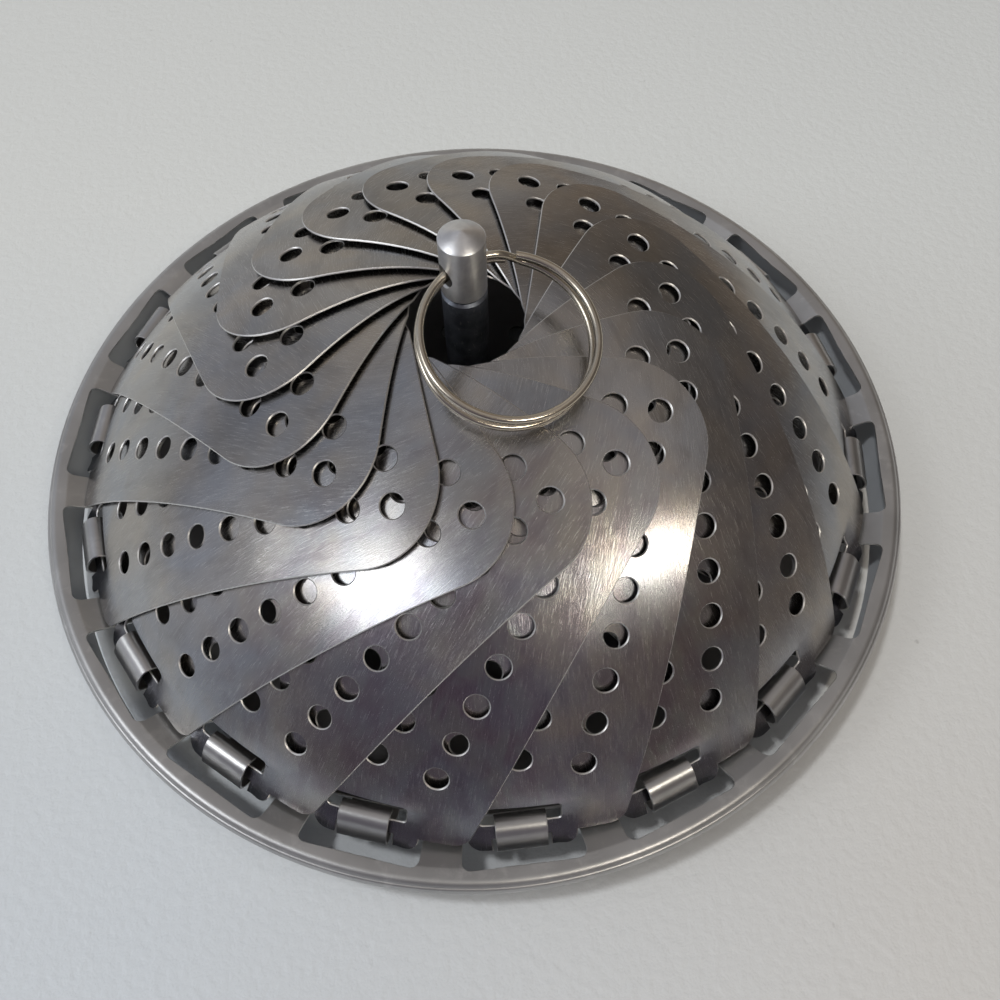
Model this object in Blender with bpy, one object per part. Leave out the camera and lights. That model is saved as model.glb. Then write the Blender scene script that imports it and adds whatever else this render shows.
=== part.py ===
# Folding steamer basket, closed: a shallow dish with eighteen overlapping petals hinged round its rim,
# a centre post with a screwed cap, a split ring through the cap and three folding legs underneath.
# Metres, +Z up. The origin is on the table, under the middle of the dish.
import math

import bmesh
import bpy
from mathutils import Matrix, Vector
from mathutils.geometry import delaunay_2d_cdt

# Dish
PETAL_COUNT = 18
FIRST_PETAL_DEG = -186.9
RIM_RADIUS = 0.0695
RIM_HEIGHT = 0.0115
DISH_SHEET = 0.0005
FLOOR_HEIGHT = 0.00475
FLOOR_RADIUS = 0.050
SKIRT_RADIUS = 0.056
SKIRT_HEIGHT = 0.0059
WALL_RADIUS = 0.0572
WALL_HEIGHT = 0.0074
SHELF_INSET = 0.0031
SHELF_LIFT = 0.0007
RIDGE_INSET = 0.0012
RIDGE_LIFT = 0.0009
BEAD_SHOULDER_INSET = 0.0007
BEAD_SHOULDER_LIFT = 0.0006
RIM_WALL_INSET = 0.0018
RIM_WALL_FOOT = 0.0016
RIM_DIVISIONS = 72

# Hinge windows in the dish and the tongues that curl over the petals' bars
WINDOW_INNER_INSET = 0.0031
WINDOW_OUTER_OFFSET = 0.0048
WINDOW_INNER_HALF = 0.0077
WINDOW_OUTER_HALF = 0.0087
WINDOW_CORNER = 0.0012
TONGUE_HALF = 0.00355
TONGUE_SHEET = 0.0004
CURL_CLEARANCE = 0.0003
CURL_END_DEG = 190
CURL_STEPS = 8

# Petal hinge, and the dome that the petals lie on
HINGE_INSET = 0.0080
HINGE_LIFT = 0.0010
PETAL_SHEET = 0.0004
BAR_SINK = 0.00015
DOME_RISE = 0.0339
SPIRAL_PITCH = 0.0024
PETAL_ROLL_DEG = 1.6

# Petal outline, from the hinge line toward the centre and across
BAR_HALF_DEPTH = 0.0012
LUG_DEPTH = 0.0030
LUG_HALF = 0.0077
LUG_CORNER = 0.0014
NOTCH_HALF = 0.0040
SHOULDER_DEPTH = 0.00085
SLOT_END = 0.0039
SLOT_HALF = 0.0056
SLOT_CORNER = 0.0009
SHOULDER_RIGHT = 0.0142
SHOULDER_LEFT = 0.0120
SHOULDER_CORNER = 0.0026
RIGHT_EDGE_DEG = 16.8
LEFT_EDGE_DEG = 8.75
CENTRE_OPENING = 0.0079
FREE_EDGE_BOW = 0.0026
FREE_CORNER = 0.0110
BAR_FADE_START = 0.0005
BAR_FADE = 0.0050
BAR_SIDE_START = 0.0045
BAR_SIDE_FADE = 0.0030
PETAL_FACET = 0.0088

# Floor perforations
PERFORATION_RADIUS = 0.00165
FLOOR_RING_RADII = (0.018, 0.030)
FLOOR_RING_COUNTS = (9, 15)

# Centre post
STEM_RADIUS = 0.00305
STUD_RADIUS = 0.0020
NECK_RADIUS = 0.0016
NECK_HEIGHT = 0.0019
CROSS_HOLE_ABOVE_DOME = 0.0100
CROSS_HOLE_RADIUS = 0.0016
CROSS_HOLE_DEG = 29
CAP_BELOW_HOLE = 0.0040
CAP_ABOVE_HOLE = 0.0054
CAP_CONE = 0.0012
CAP_CHAMFER = 0.0004
WASHER_RADIUS = 0.0050
WASHER_SHEET = 0.0008
NUT_ACROSS = 0.0070
NUT_HEIGHT = 0.0021
STUD_END = 0.0004
FIT_GAP = 0.0003
ROUND_SIDES = 24

# Split ring
RING_RADIUS = 0.0113
RING_WIRE = 0.0011
RING_TURN_GAP = 0.00008
RING_ABOVE_PETALS = 0.0023
RING_STEPS = 28
RING_SIDES = 6
RING_END_DEG = 14
RING_JOG_DEG = 12

# Folding legs
LEG_COUNT = 3
FIRST_LEG_DEG = -90
LEG_AXIS_RADIUS = 0.045
LEG_LENGTH = 0.024
LEG_HALF_WIDTH = 0.0040
LEG_SHEET = 0.0008
EYE_RADIUS = 0.0016
PIN_RADIUS = 0.0007
PIN_HEAD_RADIUS = 0.0012
PIN_HEAD = 0.0006
BRACKET_SHEET = 0.0007
EAR_HALF = 0.0021
BRACKET_LENGTH = 0.0090
RIVET_RADIUS = 0.0010
RIVET_HEAD_RADIUS = 0.0020
RIVET_HEAD = 0.0006
RIVET_INSET = 0.0055
OVERRUN = 0.0020
SLIVER_SHARE = 0.0001
MERGE_SHARE = 0.01
SEAM_SHARE = 0.001
SPACING_SHARE = 0.4
LEG_ARC_STEPS = 14

# Worked out from the sizes above
HINGE_RADIUS = RIM_RADIUS - HINGE_INSET
HINGE_HEIGHT = RIM_HEIGHT + HINGE_LIFT
BAR_REACH = math.hypot(BAR_HALF_DEPTH, PETAL_SHEET / 2)
CURL_RADIUS = BAR_REACH + CURL_CLEARANCE + TONGUE_SHEET / 2
STEP_DEG = 360 / PETAL_COUNT


def dome_shape():
    # The dome's sphere passes the foot of the petals, where their bars are sunk onto the hinge axis.
    foot_radius = HINGE_RADIUS
    foot_height = HINGE_HEIGHT
    radius = foot_radius
    for _ in range(20):
        radius = (foot_radius ** 2 + DOME_RISE ** 2) / (2 * DOME_RISE)
        tilt = math.asin(foot_radius / radius)
        foot_radius = HINGE_RADIUS + BAR_SINK * math.sin(tilt)
        foot_height = HINGE_HEIGHT + BAR_SINK * math.cos(tilt)
    return radius, foot_height + DOME_RISE - radius, math.asin(foot_radius / radius)


DOME_RADIUS, DOME_CENTRE, HINGE_TILT = dome_shape()
DOME_TOP = DOME_CENTRE + DOME_RADIUS
CROSS_HOLE_HEIGHT = DOME_TOP + CROSS_HOLE_ABOVE_DOME
PETAL_LENGTH = DOME_RADIUS * (HINGE_TILT - math.asin(CENTRE_OPENING / DOME_RADIUS))


def smooth(amount):
    amount = min(max(amount, 0), 1)
    return amount * amount * (3 - 2 * amount)


def polar(radius, degrees):
    return Vector((radius * math.cos(math.radians(degrees)), radius * math.sin(math.radians(degrees))))


def circle(centre, radius, sides, start_deg=0):
    return [Vector(centre) + polar(radius, start_deg + 360 * i / sides) for i in range(sides)]


def rounded(corners):
    # Each corner is a point, a radius and a number of steps round it.
    points = []
    count = len(corners)
    for i, (corner, radius, steps) in enumerate(corners):
        corner = Vector(corner)
        if not steps:
            points.append(corner)
            continue
        before = (Vector(corners[i - 1][0]) - corner).normalized()
        after = (Vector(corners[(i + 1) % count][0]) - corner).normalized()
        half = before.angle(after) / 2
        reach = radius / math.tan(half)
        middle = corner + (before + after).normalized() * radius / math.sin(half)
        start = corner + before * reach - middle
        end = corner + after * reach - middle
        sweep = start.angle_signed(end)
        points += [middle + Matrix.Rotation(-sweep * j / steps, 2) @ start for j in range(steps + 1)]
    return points


def divided(loop, longest):
    points = []
    for a, b in zip(loop, loop[1:] + loop[:1]):
        pieces = max(1, math.ceil((b - a).length / longest))
        points += [a.lerp(b, j / pieces) for j in range(pieces)]
    return points


def inside(point, loop):
    hit = False
    for a, b in zip(loop, loop[1:] + loop[:1]):
        if (a.y > point.y) != (b.y > point.y):
            if point.x < (b.x - a.x) * (point.y - a.y) / (b.y - a.y) + a.x:
                hit = not hit
    return hit


def edge_distance(point, loop):
    nearest = math.inf
    for a, b in zip(loop, loop[1:] + loop[:1]):
        along = b - a
        share = min(max((point - a).dot(along) / along.length_squared, 0), 1)
        nearest = min(nearest, (point - a - along * share).length)
    return nearest


def triangles(outer, holes, loose, seams=()):
    # Flat triangles of the area inside outer and outside the holes. Seams are loops kept as edges.
    points = []
    edges = []
    for loop in [outer, *holes, *seams]:
        first = len(points)
        points += loop
        edges += [(first + i, first + (i + 1) % len(loop)) for i in range(len(loop))]
    points += loose
    scale = max(point.length for point in points)
    flat = [point / scale for point in points]
    verts, _, faces, *_ = delaunay_2d_cdt(flat, edges, [], 0, MERGE_SHARE * SLIVER_SHARE)
    verts = [vert * scale for vert in verts]
    kept = []
    for face in faces:
        middle = (verts[face[0]] + verts[face[1]] + verts[face[2]]) / 3
        if inside(middle, outer) and not any(inside(middle, hole) for hole in holes):
            a, b, c = (verts[index] for index in face)
            turn = (b - a).cross(c - a)
            # A straight edge's own points leave slivers of no area along it.
            if abs(turn) > (c - a).length_squared * SLIVER_SHARE:
                kept.append(tuple(face) if turn > 0 else tuple(reversed(face)))
    return verts, kept


def sheet_mesh(name, middles, faces):
    # Closes a sheet: middles holds each vertex's point, its unit normal and the half thickness there.
    mesh = bpy.data.meshes.new(name)
    count = len(middles)
    points = [point + normal * half for point, normal, half in middles]
    points += [point - normal * half for point, normal, half in middles]
    walls = {}
    for face in faces:
        for a, b in zip(face, face[1:] + face[:1]):
            if not walls.pop((b, a), False):
                walls[(a, b)] = True
    solid = [tuple(face) for face in faces]
    solid += [tuple(index + count for index in reversed(face)) for face in faces]
    for a, b in walls:
        solid.append((b, a, a + count))
        solid.append((b, a + count, b + count))
    mesh.from_pydata(points, [], solid)
    clean = bmesh.new()
    clean.from_mesh(mesh)
    bmesh.ops.delete(clean, geom=[v for v in clean.verts if not v.link_faces], context="VERTS")
    clean.to_mesh(mesh)
    clean.free()
    return mesh


def turned_mesh(name, profile, sides=ROUND_SIDES, twist_deg=0):
    # Turns a profile of (radius, height) points about Z. It runs from the bottom up on the outside.
    build = bmesh.new()
    rows = []
    for radius, height in profile:
        if radius > 0:
            spots = circle((0, 0), radius, sides, twist_deg)
            rows.append([build.verts.new((spot.x, spot.y, height)) for spot in spots])
        else:
            rows.append([build.verts.new((0, 0, height))])
    for low, high in zip(rows, rows[1:]):
        for i in range(sides):
            j = (i + 1) % sides
            ring = [low[i % len(low)], low[j % len(low)], high[j % len(high)], high[i % len(high)]]
            build.faces.new(list(dict.fromkeys(ring)))
    if len(rows[0]) > 1:
        bmesh.ops.remove_doubles(build, verts=build.verts, dist=FIT_GAP * MERGE_SHARE)
    bmesh.ops.recalc_face_normals(build, faces=build.faces)
    mesh = bpy.data.meshes.new(name)
    build.to_mesh(mesh)
    build.free()
    return mesh


def block_mesh(name, low, high):
    build = bmesh.new()
    size = Vector(high) - Vector(low)
    middle = (Vector(high) + Vector(low)) / 2
    stretch = Matrix.Translation(middle) @ Matrix.Diagonal((*size, 1))
    bmesh.ops.create_cube(build, size=1, matrix=stretch)
    mesh = bpy.data.meshes.new(name)
    build.to_mesh(mesh)
    build.free()
    return mesh


def material(name, colour, roughness, metallic=1.0):
    made = bpy.data.materials.new(name)
    made.use_nodes = True
    shader = made.node_tree.nodes["Principled BSDF"]
    shader.inputs["Base Color"].default_value = (*colour, 1)
    shader.inputs["Roughness"].default_value = roughness
    shader.inputs["Metallic"].default_value = metallic
    made.diffuse_color = (*colour, 1)
    return made


def place(name, mesh, made_of, matrix=None, smooth_deg=None):
    thing = bpy.data.objects.new(name, mesh)
    bpy.context.scene.collection.objects.link(thing)
    if matrix is not None:
        thing.matrix_world = matrix
    if made_of is not None and not mesh.materials:
        mesh.materials.append(made_of)
    if smooth_deg is not None:
        mesh.shade_smooth()
        mesh.set_sharp_from_angle(angle=math.radians(smooth_deg))
    return thing


def tool(name, mesh, matrix):
    helper = place(name, mesh, None, matrix)
    helper.hide_render = True
    helper.display_type = "WIRE"
    return helper


def combine(thing, helper, operation):
    step = thing.modifiers.new(helper.name, "BOOLEAN")
    step.object = helper
    step.operation = operation
    step.solver = "EXACT"


# The dish's profile from the middle outward, as points of (radius, height) on the sheet's middle
BEAD_RADIUS = RIM_RADIUS - DISH_SHEET / 2
DISH_PROFILE = (
    (0, FLOOR_HEIGHT),
    (FLOOR_RADIUS, FLOOR_HEIGHT),
    (SKIRT_RADIUS, SKIRT_HEIGHT),
    (WALL_RADIUS, WALL_HEIGHT),
    (RIM_RADIUS - SHELF_INSET, RIM_HEIGHT + SHELF_LIFT),
    (RIM_RADIUS - RIDGE_INSET, RIM_HEIGHT + RIDGE_LIFT),
    (RIM_RADIUS - BEAD_SHOULDER_INSET, RIM_HEIGHT + BEAD_SHOULDER_LIFT),
    (BEAD_RADIUS, RIM_HEIGHT),
    (RIM_RADIUS - RIM_WALL_INSET, RIM_WALL_FOOT),
)


def profile_lengths():
    lengths = [0]
    for a, b in zip(DISH_PROFILE, DISH_PROFILE[1:]):
        lengths.append(lengths[-1] + math.dist(a, b))
    return lengths


PROFILE_LENGTHS = profile_lengths()


def profile_normal(part):
    a, b = DISH_PROFILE[part], DISH_PROFILE[part + 1]
    return Vector((a[1] - b[1], b[0] - a[0])).normalized()


def on_dish(flat):
    # Point and normal on the dish of a flat point that lies as far out as the profile is long.
    reach = flat.length
    last = len(DISH_PROFILE) - 2
    part = 0
    while part < last and reach > PROFILE_LENGTHS[part + 1] + DISH_SHEET * SEAM_SHARE:
        part += 1
    share = (reach - PROFILE_LENGTHS[part]) / (PROFILE_LENGTHS[part + 1] - PROFILE_LENGTHS[part])
    a, b = Vector(DISH_PROFILE[part]), Vector(DISH_PROFILE[part + 1])
    spot = a.lerp(b, share)
    normal = profile_normal(part)
    if share > 1 - SEAM_SHARE and part < last:
        normal = (normal + profile_normal(part + 1)).normalized()
    across = flat / reach
    point = Vector((across.x * spot[0], across.y * spot[0], spot[1]))
    return point, Vector((across.x * normal[0], across.y * normal[0], normal[1]))


def flatten(plan):
    # The flat point of a plan point between the wall and the ridge, on part 3 or 4 of the profile.
    radius = plan.length
    part = 3 if radius < DISH_PROFILE[4][0] else 4
    a, b = DISH_PROFILE[part], DISH_PROFILE[part + 1]
    reach = PROFILE_LENGTHS[part] + (radius - a[0]) * math.dist(a, b) / (b[0] - a[0])
    return plan * reach / radius


def cone_height(radius):
    a, b = DISH_PROFILE[3], DISH_PROFILE[4]
    return a[1] + (radius - a[0]) * (b[1] - a[1]) / (b[0] - a[0])


def window_outline():
    inner = HINGE_RADIUS - WINDOW_INNER_INSET
    outer = HINGE_RADIUS + WINDOW_OUTER_OFFSET
    loop = rounded((
        ((inner, -WINDOW_INNER_HALF), WINDOW_CORNER, 2),
        ((outer, -WINDOW_OUTER_HALF), WINDOW_CORNER, 2),
        ((outer, WINDOW_OUTER_HALF), WINDOW_CORNER, 2),
        ((inner, WINDOW_INNER_HALF), WINDOW_CORNER, 2),
    ))
    return loop + [Vector((inner, TONGUE_HALF)), Vector((inner, -TONGUE_HALF))]


def tongue_path():
    # Rows of (radius, height, direction) from the window's inner edge, under the bar and round it.
    root = Vector((HINGE_RADIUS - WINDOW_INNER_INSET, cone_height(HINGE_RADIUS - WINDOW_INNER_INSET)))
    hinge = Vector((HINGE_RADIUS, HINGE_HEIGHT))
    away = root - hinge
    bearing = math.atan2(away.y, away.x) + math.acos(CURL_RADIUS / away.length)
    start_deg = math.degrees(bearing)
    rows = []
    for i in range(CURL_STEPS + 1):
        degrees = start_deg + (CURL_END_DEG - (start_deg % 360 - 360)) * i / CURL_STEPS
        spot = hinge + polar(CURL_RADIUS, degrees)
        rows.append((spot, polar(1, degrees + 90)))
    return rows


def dish_mesh():
    window = window_outline()
    holes = []
    tongues = []
    for k in range(PETAL_COUNT):
        turn = Matrix.Rotation(math.radians(FIRST_PETAL_DEG + STEP_DEG * k), 2)
        holes.append([flatten(turn @ point) for point in window])
        tongues.append((holes[-1][-1], holes[-1][-2]))
    holes.append(circle((0, 0), STUD_RADIUS + FIT_GAP, 12))
    for radius, count in zip(FLOOR_RING_RADII, FLOOR_RING_COUNTS):
        for i in range(count):
            holes.append(circle(polar(radius, 360 * i / count), PERFORATION_RADIUS, 6))
    for i in range(LEG_COUNT):
        spot = polar(LEG_AXIS_RADIUS - RIVET_INSET, FIRST_LEG_DEG + 360 * i / LEG_COUNT)
        holes.append(circle(spot, RIVET_RADIUS + FIT_GAP, 8))
    start = FIRST_PETAL_DEG
    seams = [circle((0, 0), reach, RIM_DIVISIONS, start) for reach in PROFILE_LENGTHS[1:-1]]
    outer = circle((0, 0), PROFILE_LENGTHS[-1], RIM_DIVISIONS, start)
    verts, faces = triangles(outer, holes, [], seams)
    middles = []
    for vert in verts:
        point, normal = on_dish(vert)
        middles.append((point, normal, DISH_SHEET / 2))
    rows = tongue_path()
    for k, (left, right) in enumerate(tongues):
        turn = Matrix.Rotation(math.radians(FIRST_PETAL_DEG + STEP_DEG * k), 3, "Z")
        pair = [min(range(len(verts)), key=lambda i: (verts[i] - end).length) for end in (left, right)]
        for spot, along in rows:
            fresh = []
            for side in (-TONGUE_HALF, TONGUE_HALF):
                point = turn @ Vector((spot.x, side, spot.y))
                normal = turn @ Vector((-along.y, 0, along.x))
                fresh.append(len(middles))
                middles.append((point, normal, TONGUE_SHEET / 2))
            faces.append((pair[0], fresh[0], fresh[1]))
            faces.append((pair[0], fresh[1], pair[1]))
            pair = fresh
    return sheet_mesh("dish", middles, faces)


def petal_surface(along, across):
    # Point and outward normal on the petal's sheet, along from the hinge line and across to the right.
    tilt = HINGE_TILT - along / DOME_RADIUS
    turn = across / DOME_RADIUS
    normal = Vector((math.cos(turn) * math.sin(tilt), math.sin(turn), math.cos(turn) * math.cos(tilt)))
    roll = math.tan(math.radians(PETAL_ROLL_DEG)) * DOME_RADIUS * normal.y
    spiral = SPIRAL_PITCH * math.atan2(normal.y, normal.x) + roll
    body = max(
        smooth((along - BAR_FADE_START) / BAR_FADE),
        smooth((abs(across) - BAR_SIDE_START) / BAR_SIDE_FADE),
    )
    lift = body * spiral - (1 - body) * BAR_SINK
    return normal * (DOME_RADIUS + lift) + Vector((0, 0, DOME_CENTRE)), normal


def petal_outline():
    right_slope = math.tan(math.radians(RIGHT_EDGE_DEG))
    left_slope = math.tan(math.radians(LEFT_EDGE_DEG))
    free_side = PETAL_LENGTH - FREE_EDGE_BOW
    corners = (
        ((-BAR_HALF_DEPTH, -NOTCH_HALF), 0, 0),
        ((-LUG_DEPTH, -NOTCH_HALF), 0, 0),
        ((-LUG_DEPTH, -LUG_HALF), LUG_CORNER, 2),
        ((-SHOULDER_DEPTH, -LUG_HALF), 0, 0),
        ((-SHOULDER_DEPTH, -SHOULDER_LEFT), SHOULDER_CORNER, 2),
        ((free_side, -SHOULDER_LEFT - left_slope * free_side), FREE_CORNER, 4),
        ((PETAL_LENGTH, 0), 0, 0),
        ((free_side, SHOULDER_RIGHT + right_slope * free_side), FREE_CORNER, 4),
        ((-SHOULDER_DEPTH, SHOULDER_RIGHT), SHOULDER_CORNER, 2),
        ((-SHOULDER_DEPTH, LUG_HALF), 0, 0),
        ((-LUG_DEPTH, LUG_HALF), LUG_CORNER, 2),
        ((-LUG_DEPTH, NOTCH_HALF), 0, 0),
        ((-BAR_HALF_DEPTH, NOTCH_HALF), 0, 0),
    )
    return divided(rounded(corners), PETAL_FACET)


def petal_mesh():
    outline = petal_outline()
    slot = rounded((
        ((BAR_HALF_DEPTH, -SLOT_HALF), SLOT_CORNER, 1),
        ((SLOT_END, -SLOT_HALF), SLOT_CORNER, 1),
        ((SLOT_END, SLOT_HALF), SLOT_CORNER, 1),
        ((BAR_HALF_DEPTH, SLOT_HALF), SLOT_CORNER, 1),
    ))
    loose = []
    row = 0
    row_pitch = PETAL_FACET * math.sqrt(3) / 2
    columns = math.ceil(max(abs(point.y) for point in outline) / PETAL_FACET)
    while row * row_pitch < PETAL_LENGTH:
        along = BAR_FADE_START + BAR_FADE + row * row_pitch
        for column in range(-columns, columns + 1):
            spot = Vector((along, (column + row % 2 / 2) * PETAL_FACET))
            if inside(spot, outline) and edge_distance(spot, outline) > PETAL_FACET * SPACING_SHARE:
                loose.append(spot)
        row += 1
    bend = BAR_SIDE_START + BAR_SIDE_FADE
    for side in (-bend, bend):
        loose.append(Vector((BAR_HALF_DEPTH, side)))
        loose.append(Vector((SLOT_END, side)))
    loose = [spot for spot in loose if not inside(spot, slot)]
    verts, faces = triangles(outline, [slot], loose)
    hinge = Vector((HINGE_RADIUS, 0, HINGE_HEIGHT))
    middles = []
    for vert in verts:
        point, normal = petal_surface(vert.x, vert.y)
        middles.append((point - hinge, normal, PETAL_SHEET / 2))
    # Along runs inward here, so the flat triangles are turned over to face out of the dome.
    return sheet_mesh("petal", middles, [tuple(reversed(face)) for face in faces])


def ring_tilt():
    # The ring leans until its far side is the stated height over the petals' raised corners.
    corner = petal_surface(PETAL_LENGTH - FREE_CORNER, SHOULDER_RIGHT + FREE_CORNER)[0]
    level = (corner - Vector((0, 0, DOME_CENTRE))).length + RING_ABOVE_PETALS
    rise = CROSS_HOLE_HEIGHT - DOME_CENTRE
    return math.asin((4 * RING_RADIUS ** 2 + rise ** 2 - level ** 2) / (4 * RING_RADIUS * rise))


def ring_mesh():
    # Two turns of wire side by side, crossing over beside the wire's two ends. The wire passes the
    # origin, and the ring lies toward +X in the XY plane.
    wire = RING_WIRE / 2
    stack = wire + RING_TURN_GAP / 2
    first = RING_END_DEG
    last = 720 - RING_END_DEG
    steps = 2 * RING_STEPS
    build = bmesh.new()
    rows = []
    for i in range(steps + 1):
        degrees = first + (last - first) * i / steps
        cross = smooth((degrees - 360 + RING_JOG_DEG) / (2 * RING_JOG_DEG))
        height = stack * (2 * cross - 1)
        across = polar(1, degrees)
        middle = Vector((RING_RADIUS + RING_RADIUS * across.x, RING_RADIUS * across.y, height))
        row = []
        for j in range(RING_SIDES):
            spoke = polar(wire, 360 * j / RING_SIDES)
            outward = Vector((across.x * spoke.x, across.y * spoke.x, spoke.y))
            row.append(build.verts.new(middle + outward))
        rows.append(row)
    for low, high in zip(rows, rows[1:]):
        for j in range(RING_SIDES):
            k = (j + 1) % RING_SIDES
            build.faces.new((low[j], low[k], high[k], high[j]))
    build.faces.new(rows[0])
    build.faces.new(rows[-1])
    bmesh.ops.recalc_face_normals(build, faces=build.faces)
    mesh = bpy.data.meshes.new("split_ring")
    build.to_mesh(mesh)
    build.free()
    return mesh


def build_dish():
    steel = material("dish_steel", (0.50, 0.49, 0.47), 0.42)
    place("dish", dish_mesh(), steel, smooth_deg=25)


def build_petals():
    steel = material("petal_steel", (0.56, 0.55, 0.54), 0.32)
    mesh = petal_mesh()
    for k in range(PETAL_COUNT):
        turn = Matrix.Rotation(math.radians(FIRST_PETAL_DEG + STEP_DEG * k), 4, "Z")
        hinge = Matrix.Translation((HINGE_RADIUS, 0, HINGE_HEIGHT))
        place(f"petal_{k + 1:02d}", mesh, steel, turn @ hinge, smooth_deg=25)


def build_post():
    dark = material("stem_steel", (0.38, 0.40, 0.43), 0.35)
    bright = material("cap_steel", (0.80, 0.79, 0.77), 0.18)
    plain = material("nut_steel", (0.60, 0.60, 0.58), 0.40)
    floor_top = FLOOR_HEIGHT + DISH_SHEET / 2
    floor_under = FLOOR_HEIGHT - DISH_SHEET / 2
    cap_foot = CROSS_HOLE_HEIGHT - CAP_BELOW_HOLE
    cap_top = CROSS_HOLE_HEIGHT + CAP_ABOVE_HOLE
    stem_foot = floor_top + FIT_GAP
    stem_top = cap_foot - FIT_GAP
    neck_top = cap_foot + NECK_HEIGHT
    stem = (
        (0, STUD_END),
        (STUD_RADIUS, STUD_END),
        (STUD_RADIUS, stem_foot),
        (STEM_RADIUS, stem_foot),
        (STEM_RADIUS, stem_top),
        (NECK_RADIUS, stem_top),
        (NECK_RADIUS, neck_top),
        (0, neck_top),
    )
    place("post_stem", turned_mesh("post_stem", stem), dark, smooth_deg=25)
    bore = NECK_RADIUS + FIT_GAP
    cap = (
        (0, neck_top + FIT_GAP),
        (bore, neck_top + FIT_GAP),
        (bore, cap_foot),
        (STEM_RADIUS - CAP_CHAMFER, cap_foot),
        (STEM_RADIUS, cap_foot + CAP_CHAMFER),
        (STEM_RADIUS, cap_top),
        (0, cap_top + CAP_CONE),
    )
    head = place("post_cap", turned_mesh("post_cap", cap), bright, smooth_deg=25)
    reach = STEM_RADIUS + OVERRUN
    drill = turned_mesh("cross_drill", (
        (0, -reach),
        (CROSS_HOLE_RADIUS, -reach),
        (CROSS_HOLE_RADIUS, reach),
        (0, reach),
    ), 16)
    lay = Matrix.Rotation(math.radians(CROSS_HOLE_DEG), 4, "Z") @ Matrix.Rotation(math.pi / 2, 4, "Y")
    through = Matrix.Translation((0, 0, CROSS_HOLE_HEIGHT)) @ lay
    combine(head, tool("cross_drill", drill, through), "DIFFERENCE")

    washer_top = floor_under - FIT_GAP
    washer_foot = washer_top - WASHER_SHEET
    eye = STUD_RADIUS + FIT_GAP
    washer = (
        (eye, washer_foot),
        (WASHER_RADIUS, washer_foot),
        (WASHER_RADIUS, washer_top),
        (eye, washer_top),
        (eye, washer_foot),
    )
    place("post_washer", turned_mesh("post_washer", washer), plain, smooth_deg=25)
    nut_top = washer_foot - FIT_GAP
    corner = NUT_ACROSS / math.sqrt(3)
    nut = ((0, nut_top - NUT_HEIGHT), (corner, nut_top - NUT_HEIGHT), (corner, nut_top), (0, nut_top))
    block = place("post_nut", turned_mesh("post_nut", nut, 6), plain)
    tapping = turned_mesh("nut_tap", (
        (0, nut_top - NUT_HEIGHT - OVERRUN),
        (eye, nut_top - NUT_HEIGHT - OVERRUN),
        (eye, nut_top + OVERRUN),
        (0, nut_top + OVERRUN),
    ), 12)
    combine(block, tool("nut_tap", tapping, Matrix.Identity(4)), "DIFFERENCE")


def build_ring():
    nickel = material("ring_steel", (0.70, 0.66, 0.58), 0.22)
    aim = Matrix.Rotation(math.radians(CROSS_HOLE_DEG - 90), 4, "Z")
    lean = Matrix.Rotation(ring_tilt(), 4, "Y")
    spot = Matrix.Translation((0, 0, CROSS_HOLE_HEIGHT))
    # The wire passes the hole's middle; half its sag across the head centres it in the hole.
    sag = STEM_RADIUS ** 2 / (4 * RING_RADIUS)
    centre = Matrix.Translation((-sag, 0, 0))
    place("split_ring", ring_mesh(), nickel, spot @ aim @ lean @ centre, smooth_deg=80)


def leg_mesh():
    # Side view of the leg: a strip on the table that ends in an eye round the pin, extruded across.
    hub = Vector((0, EYE_RADIUS))
    meet = math.degrees(math.asin((EYE_RADIUS - LEG_SHEET) / EYE_RADIUS)) + 180
    turns = [-90 + (meet + 90) * i / LEG_ARC_STEPS for i in range(LEG_ARC_STEPS + 1)]
    outline = [hub + polar(EYE_RADIUS, turn) for turn in turns]
    outline += [Vector((-LEG_LENGTH, LEG_SHEET)), Vector((-LEG_LENGTH, 0))]
    eye = circle(hub, PIN_RADIUS + FIT_GAP, 12)
    verts, faces = triangles(outline, [eye], [])
    middles = [(Vector((v.x, 0, v.y - EYE_RADIUS)), Vector((0, -1, 0)), LEG_HALF_WIDTH) for v in verts]
    return sheet_mesh("leg", middles, faces)


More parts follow.
